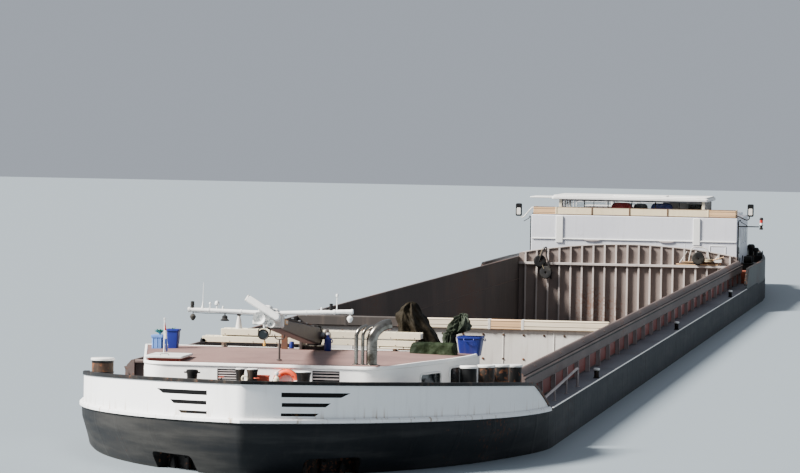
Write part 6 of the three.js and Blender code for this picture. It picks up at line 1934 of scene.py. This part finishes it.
# The wheelhouse: a hollow cabin with its windows cut, glass, roof, door and console
def addWheelhouse():
    (x0, x1), (y0, y1), (z0, z1), wall = cabin["x"], cabin["y"], cabin["z"], cabin["wall"]
    sill, head = cabin["sill"], cabin["head"]
    cutters = [(box(x0 + wall, x1 - wall, y0 + wall, y1 - wall, z0 + wall, z1 + 0.005, 0.001), 1)]
    panes = []
    pane = (x1 - x0 - 2 * wall) / cabin["acrossPanes"]
    for k in range(cabin["acrossPanes"]):
        left = x0 + wall + k * pane + 0.0015
        opening = rounded(left, left + pane - 0.003, sill, head, 0.003, 5)
        shrunk = rounded(left - 0.0005, left + pane - 0.0025, sill - 0.001, head + 0.001, 0.003, 5)
        cutters.append((slab(opening, y0 - 0.005, y0 + wall + 0.005, 0.0003, "y"), 1))
        panes.append(slab(shrunk, y0 + 0.0032, y0 + 0.0046, 0.0002, "y"))
        if k < 4:
            cutters.append((slab(opening, y1 - wall - 0.005, y1 + 0.005, 0.0003, "y"), 1))
            panes.append(slab(shrunk, y1 - 0.0046, y1 - 0.0032, 0.0002, "y"))
    cutters.append((box(x1 - wall - 0.108, x1 - wall - 0.018, y1 - wall - 0.005, y1 + 0.005, z0 + wall,
        head, 0.001), 1))
    sidePane = (y1 - y0 - 2 * wall) / cabin["sidePanes"]
    for k in range(cabin["sidePanes"]):
        front = y0 + wall + k * sidePane + 0.0015
        opening = rounded(front, front + sidePane - 0.003, sill, head, 0.003, 5)
        shrunk = rounded(front - 0.0005, front + sidePane - 0.0025, sill - 0.001, head + 0.001, 0.003, 5)
        cutters.append((slab(opening, x0 - 0.005, x1 + 0.005, 0.0003, "x"), 1))
        panes += [slab(shrunk, x0 + 0.0032, x0 + 0.0046, 0.0002, "x"),
            slab(shrunk, x1 - 0.0046, x1 - 0.0032, 0.0002, "x")]
    addPiece("wheelhouseCabin", [(box(x0, x1, y0, y1, z0, z1, 0.003), 0)], "houseWhite lining",
        body="wheelhouse", replaces=["wheelhouse_cabin"], cutters=cutters)
    mullions = [box(x0 + wall + k * pane - 0.0022, x0 + wall + k * pane + 0.0022, y0 - 0.0006, y0 + 0.0004,
        sill - 0.002, 0.6985, 0.0002) for k in range(1, cabin["acrossPanes"])]
    mullions.append(box(x0 + 0.01, x1 - 0.01, y0 - 0.0006, y0 + 0.0004, sill - 0.005, sill - 0.001, 0.0002))
    addPiece("wheelhouseMullions", mullions, "rubber", body="wheelhouse")
    addPiece("wheelhouseGlass", panes, "clearGlass", body="wheelhouse")
    # roof with a raised hatch, a wing to starboard, posts and wipers
    items = [(slab(rounded(-0.398, 0.312, 3.884, 4.328, 0.012, 6), 0.704, 0.718, 0.003), 0),
        (slab(rounded(-0.392, 0.306, 3.89, 4.322, 0.012, 6), 0.717, 0.7235, 0.003), 0),
        (slab(rounded(-0.12, 0.12, 3.92, 4.06, 0.006, 5), 0.7225, 0.727, 0.001), 0),
        (box(-0.502, -0.394, 3.93, 4.16, 0.708, 0.714, 0.0018), 0),
        (box(-0.364, 0.294, 3.901, 4.309, 0.7003, 0.705, 0.0005), 4)]
    for k in range(cabin["acrossPanes"]):
        left = x0 + wall + (k + 0.5) * pane
        items += [(rod((left - 0.018, y0 - 0.002, sill + 0.004), (left + 0.014, y0 - 0.002, sill + 0.056),
            0.0008, 6), 2), (rod((left - 0.018, y0 + 0.002, sill + 0.002),
            (left - 0.018, y0 - 0.003, sill + 0.002), 0.002, 10), 2)]
    items += [(box(x - 0.0065, x + 0.0065, y0 - 0.0045, y0 + 0.001, 0.6, 0.7045, 0.001), 3)
        for x in (-0.3585, 0.2885)]
    addPiece("wheelhouseRoof", items, "white whitePlate rubber cream blackSteel",
        body="wheelhouse", replaces=["wheelhouse_roof"])
    door = [(box(0.173, 0.275, 4.3108, 4.3148, 0.454, 0.692, 0.001), 0),
        (slab(rounded(0.187, 0.261, 0.596, 0.682, 0.006, 5), 4.3104, 4.3154, 0.0003, "y"), 1),
        (rod((0.266, 4.3185, 0.548), (0.266, 4.3185, 0.58), 0.0016, 10), 2)]
    door += [(rod((0.266, 4.314, z), (0.266, 4.3185, z), 0.0011, 8), 2) for z in (0.55, 0.578)]
    addPiece("wheelhouseDoor", door, "whitePlate glass bareSteel", body="cabin_door",
        replaces=["wheelhouse_door"])
    # console with a sloping desk, screens, levers and a wheel
    desk = mm([(3935, 452.3), (3985, 452.3), (3985, 525), (3950, 545), (3935, 545)])
    items = [(slab(desk, -0.15, 0.08, 0.002, "x"), 0)]
    items += [(turned(box(x - 0.02, x + 0.02, 3.948, 3.952, 0.546, 0.574, 0.001), -0.25, "X",
        (x, 3.95, 0.546)), 1) for x in (-0.115, -0.06, 0.045)]
    items += [(rod((x, 3.966, 0.535), (x, 3.97, 0.556), 0.0014, 8), 2)
        for x in (-0.015, -0.005, 0.005, 0.015)]
    items += [(lathe(mm([(0, -2), (3.5, -1), (3.5, 1), (0, 2)]), (x, 3.97, 0.5575), "z", 12), 3)
        for x in (-0.015, -0.005, 0.005, 0.015)]
    items.append((ringPart((-0.035, 3.99, 0.515), "y", 0.02, 0.0018, 40, 8), 2))
    items += [(rod((-0.035, 3.99, 0.515),
        (-0.035 + 0.02 * math.cos(k * 1.0472), 3.99, 0.515 + 0.02 * math.sin(k * 1.0472)), 0.0011, 6), 2)
        for k in range(6)]
    items.append((rod((-0.035, 3.983, 0.515), (-0.035, 3.991, 0.515), 0.005, 14), 2))
    items += [(box(-0.06, -0.01, 3.98, 4.045, 0.4523, 0.46, 0.001), 0),
        (lathe(mm([(22, 452.3), (22, 456), (6, 458), (6, 485), (18, 488)]), (-0.035, 4.065, 0), "z", 28),
        2)]
    addPiece("helmConsole", items, "woodDark glass blackSteel signalRed",
        body="wheelhouse", replaces=["helm_console"])


# An upholstered block: a rounded box whose faces crown by (1 - u^2)(1 - v^2), pulled in along its
# seams, as a superellipsoid of power 5 with the seams' grooves taken off
def cushionPart(x0, x1, y0, y1, z0, z1, power=5.0, rows=28, columns=48):
    lift = np.linspace(-math.pi / 2, math.pi / 2, rows)[:, None]
    turn = (np.arange(columns) * 2 * math.pi / columns)[None]
    direction = np.stack([np.cos(lift) * np.cos(turn), np.cos(lift) * np.sin(turn),
        np.sin(lift) + 0 * turn], axis=-1)
    size = (abs(direction) ** power).sum(-1, keepdims=True) ** (-1 / power)
    groove = 1 - 0.03 * np.exp(-(direction[..., 2:] * size / 0.07) ** 2)
    half = np.array([x1 - x0, y1 - y0, z1 - z0]) / 2
    return grid(direction * size * groove * half + np.array([x0 + x1, y0 + y1, z0 + z1]) / 2, wrap=True)


seats = {
    # cushions: x0, x1, y0, y1, z0, z1, the finish, and how full its padding is
    "helmSeat": ((-0.06, -0.01, 4.042, 4.088, 0.486, 0.503), "seatBlue", 0.7),
    "helmBack": ((-0.058, -0.012, 4.08, 4.094, 0.5, 0.575), "seatBlue", 0.7),
    "sofaSeat": ((-0.28, 0.1, 4.235, 4.296, 0.48, 0.505), "seatRed", 0.7),
    "sofaBackRed": ((-0.134, -0.036, 3.945, 3.972, 0.59, 0.693), "seatRed", 0.6),
    "sofaBackDark": ((-0.033, 0.032, 3.95, 3.97, 0.6, 0.69), "rubber", 0.6),
    "sofaBackBlue": ((0.046, 0.146, 3.945, 3.972, 0.59, 0.694), "seatBlue", 0.6),
}
# the bench's base and back: x0, x1, y0, y1, z0, z1, edge
bench = ((-0.29, 0.13, 4.232, 4.299, 0.4525, 0.481, 0.002),
    (-0.29, 0.13, 4.296, 4.3015, 0.4525, 0.59, 0.001))


# The seats behind the windows, and a bench
def addSeats():
    for name, (corners, look, fill) in seats.items():
        cushion = addPiece(name, [cushionPart(*corners)], look, body="wheelhouse", angle=60)
    addPiece("sofaBench", [box(*row) for row in bench], "woodDark", body="wheelhouse")


sternGear = {
    "winchY": 5.15,
    # twin bollards on both sides: x, y, radius, top
    "bollards": ((0.5, 3.57, 0.012, 0.407), (0.5, 3.62, 0.012, 0.407), (0.44, 4.98, 0.014, 0.416),
        (0.425, 5.08, 0.014, 0.416)),
    # lockers and vents: x, y, half width, half length, height, the finish's number
    "lockers": ((0.5, 3.8, 0.03, 0.07, 0.075, 0), (0.505, 3.96, 0.022, 0.05, 0.052, 4),
        (-0.5, 3.85, 0.028, 0.06, 0.06, 4), (0.3, 4.96, 0.06, 0.03, 0.05, 4),
        (-0.28, 4.97, 0.08, 0.035, 0.06, 4)),
    # on the port quarter, a capstan and a vent: outline, x, y
    "posts": (
        (mm([(20, 360.3), (20, 366), (13.5, 370), (11.5, 420), (12.5, 478), (18, 486), (18, 496),
            (12, 503), (0, 504)]), 0.474, 4.4),
        (mm([(14, 360.3), (12, 364), (9, 368), (9, 470), (14.5, 474), (14.5, 484), (9, 489), (0, 490)]),
            0.4985, 4.36)),
}


# The stern winch, and the bollards, vents and lockers of the aft deck
def addSternGear():
    y = sternGear["winchY"]
    items = [(box(0.25, 0.42, y - 0.05, y + 0.05, 0.3603, 0.368, 0.0015), 0)]
    for x in (0.267, 0.403):
        items.append((slab([(y - 0.034, 0.366), (y + 0.034, 0.366), (y + 0.026, 0.418), (y + 0.012, 0.43),
            (y - 0.012, 0.43), (y - 0.026, 0.418)], x - 0.005, x + 0.005, 0.0015, "x"), 0))
    spool = mm([(0, -70), (22, -70), (36, -68), (38, -66), (38, -63), (18.5, -61.5), (18.5, -4), (38, -3.5),
        (40, -2), (40, 2), (38, 3.5), (18.5, 4), (18.5, 61.5), (38, 63), (38, 66), (36, 68), (22, 70),
        (0, 70)])
    items.append((lathe(spool, (0.335, y, 0.406), "x", 40), 0))
    wound = np.array([(0.0185, -0.06)]
        + [(0.0225 + 0.0022 * (k % 2), -0.06 + 0.0018 * k) for k in range(31)] + [(0.0185, -0.005)])
    items += [(lathe(wound, (0.335, y, 0.406), "x", 40), 1),
        (lathe(wound * (1, -1), (0.335, y, 0.406), "x", 40), 1)]
    items += [(rod((0.255, y, 0.406), (0.415, y, 0.406), 0.006, 16), 2),
        (box(0.272, 0.3, y + 0.02, y + 0.048, 0.366, 0.4, 0.003), 0)]
    items.append((sweep(smooth([(0.412, y, 0.406), (0.42, y, 0.42), (0.422, y, 0.436)], 12),
        circle(0.0016, 8), (0, 1, 0)), 2))
    addPiece("sternWinch", items, "blackSteel rope bareSteel", replaces=["stern_winch"])
    # twin bollards, vents and lockers on the aft deck
    gear = []
    for x, yy, radius, top in sternGear["bollards"]:
        for side in (1, -1):
            gear += bollardItems(side * x, yy, radius, top, 0.3603, top - 0.022)
    gear += bollardItems(-0.5, 3.33, 0.017, 0.449, 0.3603, 0.4)
    for x, yy, wide, deep, tall, number in sternGear["lockers"]:
        gear.append((box(x - wide, x + wide, yy - deep, yy + deep, 0.3604, 0.3604 + tall, 0.003), number))
        gear.append((box(x - wide - 0.002, x + wide + 0.002, yy - deep - 0.002, yy + deep + 0.002,
            0.359 + tall, 0.3635 + tall, 0.0015), number))
    for side in (1, -1):
        gear.append((lathe(mm([(13, 360.3), (13, 364), (8.5, 366), (8.5, 424), (19, 428), (21, 434),
            (19, 440), (8, 444), (0, 445)]), (side * 0.345, 5.33, 0), "z", 28), 2))
    gear.append((moved(lathe(mm([(0, -18), (15, -18), (17, -15), (17, 15), (15, 18), (0, 18)]), (0, 0, 0),
        "x", 28), 0.5, 3.79, 0.452), 0))
    gear += [(rod((0.5 + dx, 3.76, 0.436), (0.5 + dx, 3.8, 0.47), 0.0022, 8), 0) for dx in (-0.024, 0.024)]
    # on the port quarter: a capstan, a vent and a hose drum behind a black screen
    for profile, x, yy in sternGear["posts"]:
        gear.append((lathe(profile, (x, yy, 0), "z", 32), 0))
    gear.append((lathe(mm([(0, -14), (26, -14), (28, -12), (28, -10.5), (18, -9), (18, 9), (28, 10.5),
        (28, 12), (26, 14), (0, 14)]), (0.5135, 4.42, 0.446), "x", 36), 0))
    gear += [(box(0.452, 0.528, 4.3, 4.306, 0.3604, 0.456, 0.0015), 0),
        (box(0.458, 0.5, 4.31, 4.46, 0.3604, 0.452, 0.004), 0),
        (box(0.5, 0.527, 4.38, 4.46, 0.3604, 0.424, 0.003), 0)]
    addPiece("aftDeckGear", gear, "blackSteel rustySteel white rope deckGrey")


addWheelhouse()
addSeats()
addSternGear()
print("wheelhouse made")
